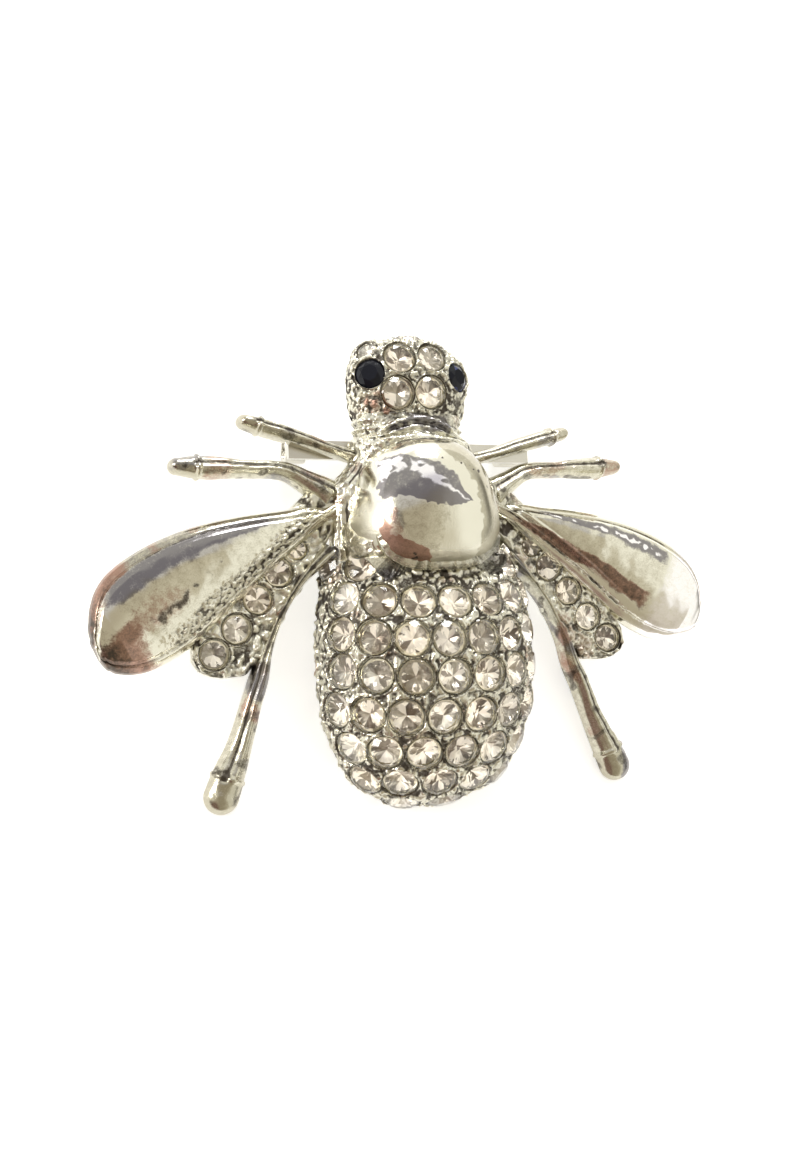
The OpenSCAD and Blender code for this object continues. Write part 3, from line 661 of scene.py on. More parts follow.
plateRows = np.array([
    (-1.2, 0.84, 1.3, 0), (0, 0.95, 0.5, 0), (1.5, 1, 0, 0), (4, 1, 0, 0), (6.3, 1.02, 0, 0), (7.5, 0.99, 0, 0),
    (8.4, 0.84, 0.1, 0), (9.2, 0.75, 0.4, 0), (10.4, 0.69, 0.75, -0.15), (11.05, 0.66, 0.6, -0.25),
    (11.35, 0.62, 0.15, -0.25), (11.65, 0.65, 0.35, -0.25), (11.95, 0.61, 0.05, -0.25), (12.25, 0.64, 0.3, -0.25),
    (12.8, 0.61, -0.2, -0.2),
])
plate = {
    "width": 13.7, "top": 2.9, "power": 3.2, "hollow": 5.09, "deep": 1.2, "from": 1.45, "joint": 9.9, "to": 12.8,
    "rows": 190, "across": 130, "fold": 0.46, "foldHeight": 0.11, "bow": 0.1,
}


# Relief and marks of the body plate's outside: folds that follow the flanks, grains towards the neck.
def plateRelief(outer, half, seed):
    x, y, z = outer[..., 0], outer[..., 1], outer[..., 2]
    flank = ease(np.abs(x) / half, 0.6, 0.9)
    folds = np.sin(2 * np.pi * (z / plate["fold"] + 0.5 * softNoise(outer * [1, 0.3, 1], 1.2, seed)))
    folds = folds * ease(softNoise(outer * [1, 0.5, 1], 1.5, seed + 6), -0.5, 0.2)
    rough = ease(y, 8.2, 9.2)
    bead = grains(outer, 0.55, seed + 2)
    ragged = softNoise(outer, 0.3, seed + 4)
    lift = plate["foldHeight"] * folds * flank * (1 - rough) + 0.09 * rough * (bead - 0.4) + 0.08 * ragged
    normal = np.stack([np.sign(x) * flank, np.zeros_like(x), 1.1 - flank], -1)
    # The fold troughs and the gaps between grains are darkened: dark oxide, and painted shade of these hollows; the
    # flanks are a little darker.
    dark = 0.3 * ease(-ragged, 0.2, 0.7) + 0.95 * ease(-folds, 0.35, 0.8) * flank * (1 - rough)
    dark = dark + 0.3 * rough * (1 - ease(bead + 0.4 * ragged, 0.1, 0.6)) + 0.1 * flank
    return outer + lift[..., None] * normal * ease(z, 0.0, 0.5)[..., None], dark


# One flank of the body plate: half an arch from its foot up to the dome's hollow or the middle line,
# then back down the hollow's wall and round the channel of the back.
def makeFlank(name, side):
    y = np.linspace(plate["from"], plate["joint"], plate["rows"])
    half = plate["width"] / 2 * flow(y, plateRows, 1)[:, None]
    top, shift = plate["top"] + flow(y, plateRows, 2)[:, None], flow(y, plateRows, 3)[:, None]
    wallX, wallY = thorax["width"] / 2 - thorax["wall"], thorax["length"] / 2 - thorax["wall"]
    ahead = np.clip((y - thorax["y"]) / wallY, -1, 1)
    hollow = wallX * (1 - np.abs(ahead) ** thorax["planPower"]) ** (1 / thorax["planPower"])
    hollow = hollow * (1 - thorax["taper"] * ahead)
    hollow = np.where(hollow > 0, np.maximum(hollow + side * thorax["x"] + 0.05, 0), 0)[:, None]
    hollow = hollow - 0.02 * (hollow <= 0)
    a = np.linspace(0, np.pi / 2, plate["across"])[None, :]
    x = np.maximum(half * np.cos(a) ** (2 / plate["power"]), hollow)
    outer = np.stack(np.broadcast_arrays(shift + side * x, y[:, None], top * np.sin(a) ** (2 / plate["power"])), -1)
    outer, dark = plateRelief(outer, half, 51)
    channel, deep = np.maximum(hollow, plate["hollow"] / 2), np.full_like(top, plate["deep"])
    wall = np.concatenate([hollow, hollow, channel, channel], 1)
    level = np.concatenate([top - 0.02, deep, deep, 0 * top], 1)
    inner = np.stack(np.broadcast_arrays(shift + side * wall, y[:, None], level), -1)
    rows = closeEnds(np.concatenate([outer, inner], 1))
    lilac = 0.4 * ease(softNoise(outer, 1.2, 56), 0.2, 0.6)
    rust = 0.45 * ease(softNoise(outer, 1.3, 57), 0.15, 0.55)
    marks = spreadMarks(rows, outer, 1, {"grimeAndShade": (dark, 0.1), "lilac": (lilac, 0.0), "rust": (rust, 0.0)})
    makeSkin(name, rows, dict(marks, grain=0.5, olive=0.3))


# Neck: a ridged arch with a channel under it. The ridges bow towards the head at their ends and
# fade out into the plain sides.
def makeNeck():
    y = np.linspace(plate["joint"] - 0.4, plate["to"], plate["rows"])
    half = plate["width"] / 2 * flow(y, plateRows, 1)[:, None]
    shift = flow(y, plateRows, 3)[:, None]
    a = np.linspace(np.pi, 0, 2 * plate["across"])[None, :]
    x = shift + half * signedPower(np.cos(a), 2 / plate["power"])
    bowed = y[:, None] + plate["bow"] * (x - shift) ** 2 * window(y, 10.4, 11.2, 12.4, 12.8)[:, None]
    plain = flow(bowed, plateRows[[0, 8, 14]], 2)
    ridged = flow(bowed, plateRows, 2)
    top = plate["top"] + ridged + (np.minimum(ridged, plain) - ridged) * ease(np.abs(x - shift), 2.6, 3.3)
    outer = np.stack(np.broadcast_arrays(x, y[:, None], top * np.abs(np.sin(a)) ** (2 / plate["power"])), -1)
    outer, dark = plateRelief(outer, half, 51)
    b = np.linspace(0, np.pi, 40)[None, :]
    inner = np.stack(np.broadcast_arrays(
        shift + plate["hollow"] / 2 * signedPower(np.cos(b), 0.25), y[:, None],
        plate["deep"] * np.abs(np.sin(b)) ** 0.25), -1)
    rows = closeEnds(np.concatenate([outer, inner], 1))
    rows[[0, -1], :, 2] = 1.6
    # The creases between the ridges are darkened: dark oxide, and painted shade of the creases.
    crease = 0.55 * ease(-ridged, -0.3, 0.0) * ease(-np.abs(x - shift), -3.2, -2.6) * (y > 11.1)[:, None]
    lilac = 0.9 * ease(y, 11.1, 11.4)[:, None] * ease(-np.abs(outer[..., 0] + 0.2), -3.2, -2.4)
    lilac = lilac * ease(softNoise(outer, 0.6, 58), -0.6, 0.3)
    rust = 0.4 * ease(softNoise(outer, 1.3, 57), 0.2, 0.6)
    marks = spreadMarks(rows, outer, 1, {
        "grimeAndShade": (np.maximum(dark, crease), 0.1), "lilac": (lilac, 0.0), "rust": (rust, 0.0)})
    makeSkin("neckBand", rows, dict(marks, grain=0.5, olive=0.3))


makeFlank("flankLeft", -1)
makeFlank("flankRight", 1)
makeNeck()
print("flanks and neck")

ledge = {
    "side": 0.4, "end": 0.95, "drop": 1.75, "power": 3.5, "from": 186, "to": 354, "overHollow": 5.6,
    "around": 260, "up": 60, "inset": 0.82,
}


# Rough ledge behind the dome: a crescent that follows the dome's rear, its top edge rounded and
# broken by grains and lumps, lower on top and smooth at its left end. Its hollows are darkened as dark
# oxide that also paints their shade, and its top beside the dome gets painted shade in grey and lilac.
def makeLedge():
    turns = np.radians(np.linspace(ledge["from"], ledge["to"], ledge["around"]))
    floor, power = thorax["floor"] - 1, thorax["planPower"]
    halfX, halfY = thorax["width"] / 2 + ledge["side"], thorax["length"] / 2 + ledge["end"]
    y = halfY * signedPower(np.sin(turns), 2 / power)
    x = halfX * signedPower(np.cos(turns), 2 / power) * (1 - thorax["taper"] * y / halfY)
    x, y = x[:, None], y[:, None]
    fade = np.linspace(0, 1, ledge["around"])
    fade = (ease(fade, 0, 0.12) * ease(fade[::-1], 0, 0.12))[:, None]
    e = np.radians(np.linspace(0, 74, ledge["up"]))
    reach, level = np.cos(e) ** (2 / ledge["power"]), np.sin(e) ** (2 / ledge["power"])
    tall = thorax["top"] - ledge["drop"] - floor
    outer = np.stack(np.broadcast_arrays(
        thorax["x"] + x * reach, thorax["y"] + y * reach, floor + tall * level * (0.45 + 0.55 * fade)), -1)
    overHollow = ease(-outer[..., 1], -1.7, -1.5) * ledge["overHollow"]
    lump = 0.2 * (grains(outer, 0.8, 61) - 0.45) + 0.17 * softNoise(outer, 0.5, 63) + 0.08 * softNoise(outer, 0.22, 64)
    clean = ease(-outer[..., 0], 3.9, 4.7) * ease(outer[..., 1], 0.2, 1.0)
    lump = lump * (1 - 0.7 * clean)
    onTop = ease(e, 0.4, 1.0)[None, :] + 0 * lump
    away = np.stack(np.broadcast_arrays(x, y, 2 + 6 * onTop), -1)
    away = away / np.linalg.norm(away, axis=-1, keepdims=True)
    outer = outer + (lump - 0.12 * onTop * (1 - clean))[..., None] * away
    outer[..., 2] = np.maximum(outer[..., 2], overHollow)
    down = np.linspace(1, 0, 12)
    inner = np.stack(np.broadcast_arrays(
        thorax["x"] + x * ledge["inset"], thorax["y"] + y * ledge["inset"],
        floor + (outer[:, -1:, 2] - floor) * down), -1)
    inner[..., 2] = np.maximum(inner[..., 2], ease(-inner[..., 1], -1.7, -1.5) * ledge["overHollow"])
    rows = closeEnds(np.concatenate([outer, inner], 1))
    # Random dark patches, and painted shade on the top beside the dome; the lilac below is also stronger on top as
    # painted shade.
    patchesAndTopShade = 0.3 * ease(softNoise(outer, 0.45, 66), -0.1, 0.4)
    patchesAndTopShade = patchesAndTopShade + 0.4 * onTop * ease(softNoise(outer, 0.35, 67), -0.2, 0.3)
    grimeAndShade = np.clip((0.85 * ease(-lump, -0.08, 0.1) + patchesAndTopShade) * (1 - clean), 0, 1)
    left = ease(-outer[..., 0], -0.5, 1.5)
    tintMask = (0.6 + 0.5 * left) * ease(softNoise(outer, 1.1, 65) + 0.5 * onTop + 0.4 * left, -0.3, 0.3)
    marks = spreadMarks(rows, outer, 1, {"grimeAndShade": (grimeAndShade, 0.0), "lilac": (tintMask * (1 - clean), 0.0)})
    makeSkin("thoraxLedge", rows, dict(marks, olive=0.5, grain=0.7))


makeLedge()
print("rough ledge")

head = {
    "width": 9.8, "length": 8.4, "top": 2.9, "floor": 0, "x": -0.1, "y": 14.9, "taper": 0, "planPower": 2.7,
    "risePower": 2.5, "wall": 1.7, "around": 420, "down": 120, "seatEase": 1.06,
    "eye": 2.3, "eyeX": 3.65, "eyeAhead": 0.9, "eyeEase": 0.99, "eyeShades": (0.6, 1.25),
    "rim": 0.05, "valley": 0.15, "grainSize": 0.42, "grainHeight": 0.16, "darkening": 0.72,
}
# Stones of the head: x, place ahead of its middle, share of the usual width
headStones = [
    (-1.78, -0.66, 1), (0.95, -0.52, 1), (-3.62, 2.95, 0.63), (-1.4, 2.14, 0.98), (1.3, 2.3, 0.9), (0, 4.05, 0.9),
]


# Height share of the head: a boxy ellipse in plan, a boxy arch in height; 1 on the surface.
def headLevel(x, v, z):
    power, rise = head["planPower"], head["risePower"]
    plan = (np.abs(x - head["x"]) / (head["width"] / 2)) ** power + (np.abs(v) / (head["length"] / 2)) ** power
    return plan ** (rise / power) + (max(0, z) / head["top"]) ** rise


# A seat on the head: the surface's height at x, v and the unit slope of the level there.
def headSeat(x, v):
    z = head["top"] * max(0, 1 - headLevel(x, v, 0)) ** (1 / head["risePower"])
    at = np.array([x, v, z])
    slope = np.array([headLevel(*(at + step)) - headLevel(*(at - step)) for step in 0.01 * np.eye(3)])
    return np.concatenate([[x, head["y"] + v, z], slope / np.linalg.norm(slope)])


headSeats = np.array([headSeat(x, v) for x, v, share in headStones])
headWidths = np.array([abdomen["stone"] * share for x, v, share in headStones]) * head["seatEase"]
eyeSeats = np.array([headSeat(head["x"] + side * head["eyeX"], head["eyeAhead"]) for side in (-1, 1)])


# Head: the dome with its seats pressed in, grains on the cheeks, the left one rusty, and the hollow
# below.
def makeHead():
    radii = np.concatenate([headWidths, [head["eye"]] * 2]) / 2
    seats = np.concatenate([headSeats, eyeSeats])
    outer, grimeAndShade, grain, edge = setStones(domeRows(head, 0, head["down"]), seats, radii, head, 71)
    outer[..., 2] = np.maximum(outer[..., 2], 0.0)
    rows = np.concatenate([outer, domeRows(head, head["wall"], 24)[::-1]])
    x, y = outer[..., 0], outer[..., 1] - head["y"]
    cheek = ease(-np.hypot((x + 3.1) / 1.5, (y + 1.9) / 1.7), -1.2, -0.5)
    cheek = cheek * (0.45 + 0.55 * ease(softNoise(outer, 0.5, 77), -0.4, 0.5))
    makeSkin("headShell", rows, spreadMarks(rows, outer, 0, {
        "grimeAndShade": (grimeAndShade, 0.12), "grain": (grain, 0.6), "rust": (1.1 * cheek, 0.0), "olive": (0.42, 0.35)}))


makeHead()
for k in range(6):
    seat, width = headSeats[k:k + 1], headWidths[k:k + 1]
    makeStones(f"headBrilliant{k + 1}", seat, width, f"head_stone_{k + 1}", clearPair, 80 + k)
for k, word in enumerate(("Left", "Right")):
    seat, width, shadeTop = eyeSeats[k:k + 1], [head["eye"] * head["eyeEase"]], head["eyeShades"][k]
    makeStones("eyeStone" + word, seat, width, "eye_" + word.lower(), [navyGlass], 90 + k, shadeTop)
print("head, its stones and eyes")

# Pairs are for the left and the right wing
forewing = {
    "length": 20.0, "front": 5.05, "rear": 2.75, "sweep": 29.9, "rootX": 7.03, "rootY": 5.3, "rootZ": 0.5,
    "tipZ": 0.75, "twist": 0.11, "wall": 1.1, "crown": 0.95, "skew": 0.9, "tipTrim": 0.1,
    "rows": 260, "across": 150, "strip": (2.2, 0.9), "groove": (0.4, 0.75),
}
# Share of the length, share of the front width, share of the rear width
wingRows = np.array([
    (-0.08, 0.08, 0.12), (0, 0.14, 0.14), (0.07, 0.3, 0.19), (0.15, 0.42, 0.29), (0.24, 0.575, 0.38),
    (0.33, 0.715, 0.48), (0.42, 0.835, 0.59), (0.52, 0.935, 0.73), (0.62, 0.995, 0.88), (0.7, 1.01, 0.97),
    (0.78, 0.99, 0.98), (0.85, 0.92, 0.93), (0.91, 0.77, 0.8), (0.955, 0.56, 0.6), (0.985, 0.34, 0.36),
    (0.998, 0.12, 0.12), (1.0, 0.0, 0.0),
])


# A limb turned in the plane of the back and mirrored for the left side (-1).
def limbPlace(points, side, skew):
    turn = np.radians(skew)
    x, y = points[..., 0] * side, points[..., 1]
    return np.stack([x * np.cos(turn) - y * np.sin(turn), x * np.sin(turn) + y * np.cos(turn), points[..., 2]], -1)


# Wing's own s along, t across and z to the brooch: swept back, raised towards the tip and twisted.
def wingPlace(s, t, z):
    sweep = np.radians(forewing["sweep"])
    lift = forewing["rootZ"] + (forewing["tipZ"] - forewing["rootZ"]) * s / forewing["length"] + forewing["twist"] * t
    return np.stack([
        forewing["rootX"] + s * np.cos(sweep) + t * np.sin(sweep),
        forewing["rootY"] - s * np.sin(sweep) + t * np.cos(sweep), z + lift], -1)


# Marks of the left forewing, by share of its length and place across it (v, and w with drift; -1 is
# the rear edge, 1 the front): painted violet reflection in front and at the tip, rust towards the tip and
# on the rim, a dark streak between, and a clean window before the tip.
def leftWingMarks(long, v, w, drift, spot):
    violet = ease(w, 0.34, 0.5) * (1 - 0.5 * ease(v, 0.76, 0.84)) * window(long, 0.05, 0.3, 0.84, 0.95)
    violet = np.maximum(violet, ease(long, 0.90, 0.96) * ease(-w, 0.2, 0.6))
    patch = np.hypot((long - 0.74) / 0.20, (w + 0.05) / 0.5)
    streak = np.exp(-((w - 0.62 + 1.15 * long) / 0.16) ** 2) * window(long, 0.4, 0.5, 0.76, 0.86)
    rust = 0.5 * ease(-patch, -1.0, -0.3) + 0.9 * ease(long + 0.12 * drift, 0.79, 0.90) * ease(-w, -0.35, 0.15)
    rust = rust + 0.5 * ease(long, 0.82, 0.94) * ease(w, 0.45, 0.7)
    rim = ease(v, 0.74, 0.84) * ease(long, 0.25, 0.5) + ease(-v, 0.5, 0.7) * ease(long, 0.86, 0.93)
    rust = rust + 0.5 * rim * ease(softNoise(spot, 0.8, 110), 0.0, 0.5)
    rust = rust + 0.8 * ease(v, 0.74, 0.84) * ease(long, 0.70, 0.80)
    grimeAndShade = 0.7 * streak * ease(softNoise(spot, 0.5, 109), 0.0, 0.5)
    grimeAndShade = grimeAndShade + 0.42 * np.clip(rust, 0, 1) * ease(long, 0.74, 0.84)
    grimeAndShade = grimeAndShade + 0.3 * ease(long, 0.90, 0.97) * ease(softNoise(spot, 1.2, 111), -0.5, 0.3)
    return violet, rust, grimeAndShade, window(long, 0.83, 0.88, 0.92, 0.96) * window(w, 0.0, 0.3, 0.5, 0.7), rim


# Marks of the right forewing: painted violet reflection and a rusty band along it, spots near the tip, clean edges.
def rightWingMarks(long, v, w, drift, spot):
    violet = window(w, 0.34, 0.46, 0.60, 0.72) * window(long, 0.08, 0.2, 0.70, 0.78)
    violet = np.maximum(violet, 0.8 * window(-w, 0.46, 0.56, 0.62, 0.72) * window(long, 0.3, 0.45, 0.70, 0.76))
    rust = 0.95 * window(-w, 0.22, 0.34, 0.58, 0.72) * window(long, 0.0, 0.15, 0.68, 0.76)
    grimeAndShade = 0.5 * ease(softNoise(spot, 0.55, 109), 0.45, 0.7) * ease(long, 0.72, 0.82) * ease(-w, 0.1, 0.5)
    grimeAndShade = grimeAndShade + 0.55 * rust
    return violet, rust, grimeAndShade, np.maximum(ease(long, 0.72, 0.8), ease(np.abs(v), 0.78, 0.84)), 0


# Forewing: a domed plate inside a raised bead, a grained strip and fine ridges along its rear edge.
def makeForewing(name, side):
    q = np.linspace(0, 1, forewing["rows"])
    share = (-0.08 + 1.08 * (1 - (1 - q) ** 1.8))
    long = share[:, None]
    front = forewing["front"] * flow(share, wingRows, 1)[:, None]
    rear = forewing["rear"] * flow(share, wingRows, 2)[:, None]
    half, middle = np.maximum((front + rear) / 2, 0), (front - rear) / 2
    v = -np.cos(np.linspace(0, np.pi, forewing["across"]))[None, :]
    s = long * (forewing["length"] - forewing["tipTrim"]) + 0 * v
    t = middle + half * v
    inFrom = (1 - np.abs(v)) * half
    edgeZ = 0.35 + 0.2 * ease(inFrom, 0, 0.15)
    bead = 0.26 * np.sqrt(np.maximum(0, 1 - ((inFrom - 0.34) / 0.34) ** 2))
    crown = forewing["crown"] * np.minimum(1, half / 3)
    z = edgeZ + (forewing["wall"] - 0.55) * ease(inFrom, 0.1, 1.2) + crown * (1 - np.abs(v) ** 2.4) + bead
    fromRear = (v + 1) * half
    wide = forewing["strip"][side > 0]
    strip = ease(fromRear, 0.5, 0.7) * (1 - ease(fromRear, wide * (0.7 + 0.12 * np.sin(s * 0.7)), wide))
    strip = strip * window(long, 0.02, 0.15, 0.7, 0.85)
    spot = wingPlace(s, t, z)
    granule = grains(spot, 0.36, 101 + side)
    z = z + strip * (0.17 * granule - 0.10 + 0.08 * softNoise(spot, 0.25, 106))
    z = z + 0.02 * softNoise(spot, 0.8, 103 + side)
    ridge = np.sin(2 * np.pi * fromRear / 0.62) * window(fromRear, 0.4, 0.6, 1.3, 1.8) * (1 - ease(long, 0.35, 0.75))
    top = wingPlace(s, t, z + 0.09 * ridge)
    back = v[:, ::-1][:, ::3]
    under = wingPlace(s[:, ::-1][:, ::3], middle + half * back, 0.9 * crown * (1 - np.abs(back) ** 2.4))
    rows = limbPlace(np.concatenate([top, under], 1), side, forewing["skew"])
    # The line inside the bead, the gaps between grains and the ridge troughs are darkened: dark oxide, and painted
    # shade of these hollows.
    grooves = ease(-np.abs(inFrom - 0.72), -0.12, -0.03) * forewing["groove"][side > 0]
    grooves = grooves * ease(softNoise(spot, 1.6, 105), -0.6, 0.3)
    low = 0.7 * strip * ease(-granule, -0.25, 0.0) + 0.4 * ease(-ridge, 0.4, 0.9)
    drift = 0.10 * softNoise(spot, 2.2, 107) + 0.05 * softNoise(spot, 0.6, 108)
    w = v + drift
    violet, rust, grimeAndShade, clean, rim = (rightWingMarks if side > 0 else leftWingMarks)(long, v, w, drift, spot)
    # The olive middle is a painted reflection, and the glint line and the right wing's outer end get painted highlight
    # white.
    olive = 0.4 * (1 - ease(np.abs(w + 0.05), 0.45, 0.75)) * (1 - 0.8 * clean) + 0.8 * rim
    glint = window(w, 0.46, 0.5, 0.54, 0.6) * window(long, 0.12, 0.2, 0.66, 0.74)
    highlight = (glint * ease(softNoise(spot, 0.28, 112), -0.2, 0.2) + 0.7 * ease(long, 0.7, 0.8)) * (side > 0)
    makeSkin(name, rows, spreadMarks(rows, top, 0, {
        "grimeAndShade": (np.maximum(np.maximum(grooves, low), grimeAndShade), 0.1), "grain": (strip, 0.5), "olive": (olive, 0.3),
        "lilac": (0.85 * violet * (1 - clean), 0.0), "highlight": (highlight, 0.0),
        "rust": (np.clip(rust * (1 - clean), 0, 1), 0.0)}))


makeForewing("forewingLeft", -1)
makeForewing("forewingRight", 1)
print("forewings")

hindwing = {
    "top": 1.2, "stone": 2.3, "rootStone": 1.7, "seatEase": 1.03, "rows": 200, "across": 110,
    "rim": 0.06, "valley": 0.18, "grainSize": 0.7, "grainHeight": 0.24, "darkening": 0.6,
}
wingStones = np.array([(9.75, 2.65), (11.2, 0.95), (12.85, -1.0), (14.5, -3.1), (16.2, -4.85)])
# Along the row of stones from the first one: the plate's lower and upper edge
hindEdges = np.array([
    (-5.0, -1.0, 1.8), (-2.5, -1.5, 2.1), (-0.7, -1.85, 2.2), (1.5, -2.1, 2.2), (4, -2.4, 2.2), (6.9, -2.8, 2.1),
    (8.4, -3.05, 2.0), (9.4, -2.9, 1.9), (10.2, -2.2, 1.7), (10.9, -1.4, 1.1), (11.3, -0.6, 0.6), (11.45, 0, 0),
])


# Hind wing: a plate between its two edges along the row of stones, seats pressed in, its lower lobes
# grained, its edge rounded down to the back.
def makeHindwing(name, side):
    along = wingStones[4] - wingStones[0]
    along = along / np.linalg.norm(along)
    across = np.array([-along[1], along[0]])
    q = np.linspace(0, 1, hindwing["rows"])
    u = -5 + 16.45 * (1 - (1 - q) ** 1.5)
    low, high = flow(u, hindEdges, 1)[:, None], flow(u, hindEdges, 2)[:, None]
    lobes = 0.16 * (np.sin(u * 2.3) * window(u, -1, 1, 9, 10.5))[:, None]
    v = -np.cos(np.linspace(0, np.pi, hindwing["across"]))[None, :]
    t = (low + lobes) * (1 - v) / 2 + high * (1 + v) / 2
    inFrom = np.minimum(t - low - lobes, high - t)
    z = 0.5 + (hindwing["top"] - 0.5) * np.sqrt(np.clip(inFrom / 0.45, 0, 1))
    flat = wingStones[0] + u[:, None, None] * along + t[..., None] * across
    seats = np.concatenate([wingStones, np.full((5, 1), hindwing["top"]), np.tile([0, 0, 1.0], (5, 1))], 1)
    radii = hindWidths * hindwing["seatEase"] / 2
    top, grimeAndShade, grain, edge = setStones(np.concatenate([flat, z[..., None]], -1), seats, radii, hindwing, 121 + side)
    top[..., 2] = np.maximum(top[..., 2], 0.12)
    back = flat[:, ::-1][:, ::3]
    under = np.concatenate([back, np.zeros_like(back[..., :1])], -1)
    rows = closeEnds(limbPlace(np.concatenate([top, under], 1), side, 0), both=False)
    rust = 0.45 * ease(softNoise(top, 1.5, 131 + side), 0.15, 0.6)
    marks = spreadMarks(rows, top, 1, {"grimeAndShade": (grimeAndShade, 0.1), "grain": (grain, 0.5), "rust": (rust, 0.0)})
    makeSkin(name, rows, dict(marks, olive=0.3))


hindWidths = np.array([hindwing["rootStone"]] + [hindwing["stone"]] * 4)
for side, word in ((-1, "Left"), (1, "Right")):
    makeHindwing("hindwing" + word, side)
for side, word in ((-1, "Left"), (1, "Right")):
    for k in range(5):
        seat = np.array([[side * wingStones[k, 0], wingStones[k, 1], hindwing["top"], 0, 0, 1.0]])
        node, seed = f"wing_stone_{word.lower()}_{k + 1}", 140 + 10 * side + k
        width = hindWidths[k:k + 1] * hindwing["seatEase"]
        makeStones(f"wingBrilliant{word}{k + 1}", seat, width, node, clearPair, seed)
print("hind wings and their stones")

legs = {
    "top": 1.5, "belly": 0.3, "ridge": 0.14, "front": 13.85, "middle": 18.85, "rear": 16.35,
    "rows": 150, "around": 48,
}
# Joints from root to toe: share of the leg's reach, place along the brooch, half width, rise over the
# usual top
frontJoints = np.array([
    (0.33, 9.6, 0.55, -0.2), (0.5, 10.22, 0.5, -0.15), (0.67, 10.97, 0.6, 0), (0.88, 11.75, 0.63, 0),
    (0.96, 12.05, 0.55, -0.1)])
middleJoints = np.array([
    (0.36, 6.85, 1.3, 0.1), (0.445, 7.8, 0.9, 0), (0.52, 8.55, 0.74, -0.05), (0.69, 8.82, 0.68, 0),
    (0.885, 8.96, 0.85, 0), (0.965, 9.01, 0.62, -0.1)])
# The rear ones count their share towards the tail, then the place out from the middle
rearJoints = np.array([
    (-0.15, 6.9, 0.8, 0.5), (-0.085, 8.25, 0.55, 0.4), (0.29, 12.3, 0.5, 0), (0.415, 12.95, 0.72, 0),
    (0.52, 13.6, 0.76, -0.05), (0.72, 14.8, 0.95, -0.1), (0.84, 15.7, 1.2, 0), (0.9205, 16.25, 1.3, -0.05)])


# Leg: rounded sections carried along a smooth line through its joints, flat below, with a groove
# on its back, darkened as dark oxide that also paints its shade, a raised band where the toe begins and a
# round end. More darkening widens rust and lilac.
def makeLeg(name, joints, side, skew, bandAt, seed, darkening):
    step = np.concatenate([[0], np.cumsum(np.linalg.norm(np.diff(joints[:, :2], axis=0), axis=-1))])
    table = np.concatenate([step[:, None], joints], 1)
    end = step[-1] + joints[-1, 2]
    l = end * (1 - (1 - np.linspace(0, 1, legs["rows"])) ** 1.35)
    held = np.minimum(l, step[-1])
    path = np.stack([flow(held, table, 1), flow(held, table, 2)], -1)
    ahead = np.gradient(path[held < step[-1]], axis=0)
    toe = ahead[-1] / np.linalg.norm(ahead[-1])
    path = path + np.maximum(l - step[-1], 0)[:, None] * toe
    way = np.gradient(path, axis=0)
    way = way / np.linalg.norm(way, axis=-1, keepdims=True)
    out = np.stack([-way[:, 1], way[:, 0]], -1)
    half, rise = flow(held, table, 3), legs["top"] + flow(held, table, 4) - legs["belly"]
    roundEnd = np.sqrt(np.clip(1 - (np.maximum(l - step[-1], 0) / joints[-1, 2]) ** 2, 0, 1))
    band = np.exp(-((l - step[bandAt] - 0.05) / 0.16) ** 4) * legs["ridge"]
    half, rise = (half + band) * roundEnd, (rise + band) * roundEnd
    turn = np.linspace(0, 2 * np.pi, legs["around"], endpoint=False)[None, :]
    beyond = ease(l, step[bandAt] + 0.2, step[bandAt] + 0.5)[:, None]
    groove = (np.exp(-((turn - 1.25) / 0.16) ** 2) - 0.6 * np.exp(-((turn - 1.75) / 0.18) ** 2)) * (1 - beyond)
    press = 1 - 0.16 * groove
    x = half[:, None] * np.cos(turn) * press
    z = legs["belly"] + rise[:, None] * np.sin(turn) * press
    rows = np.stack([path[:, :1] + out[:, :1] * x, path[:, 1:] + out[:, 1:] * x, z], -1)
    uneven = 0.035 * softNoise(rows, 0.5, seed) + 0.07 * softNoise(rows, 1.3, seed + 5)
    rows = rows + (uneven * ease(z, 0.35, 0.7) * roundEnd[:, None])[..., None] * [0.4, 0.4, 1]
    rows[..., 2] = np.maximum(rows[..., 2], 0)
    rows = limbPlace(closeEnds(rows, both=False), side, skew)
    low = 0.9 * np.clip(groove, 0, 1)
    toe = ease(l, step[bandAt] + 0.1, step[bandAt] + 0.4)[:, None]
    makeSkin(name, rows, {
        "grimeAndShade": np.concatenate([low[:1], low]) + 0.6 * ease(softNoise(rows, 0.8, seed + 7), 0.2, 0.6),
        "grain": 0.3, "olive": 0.62 + 0.15 * np.concatenate([toe[:1], toe]),
        "rust": (0.5 + darkening) * ease(softNoise(rows, 2.2, seed + 1), 0.25 - darkening, 0.6 - darkening),
        "lilac": (0.6 + darkening) * ease(softNoise(rows, 1.9, seed + 2), 0.25 - darkening, 0.6 - darkening)})


# Rear joints in place: the side's lean and shift, and the right one a little longer.
def rearLeg(side):
    joints = rearJoints.copy()
    joints[:, 0] = rearJoints[:, 1] + side * (0.03 * rearJoints[:, 0] * legs["rear"] - 0.12)
    joints[:, 1] = -rearJoints[:, 0] * (legs["rear"] + 0.1 * side)
    return joints


for side, word in ((-1, "Left"), (1, "Right")):
    makeLeg("frontLeg" + word, frontJoints * [legs["front"], 1, 1, 1], side, -0.5, 3, 150 + side, 0.0)
    makeLeg("middleLeg" + word, middleJoints * [legs["middle"], 1, 1, 1], side, 0.75, 4, 192 + side, 0.0)
    makeLeg("rearLeg" + word, rearLeg(side), side, 0, 6, 170 + side, 0.2)
print("legs")

# Bar pin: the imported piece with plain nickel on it
pinLook = dict(silverLook, plate=(0.74, 0.72, 0.66, 1), gloss=0.2)
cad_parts["back_pin"].data.materials.clear()
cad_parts["back_pin"].data.materials.append(silverMaterial("pinNickel", pinLook))

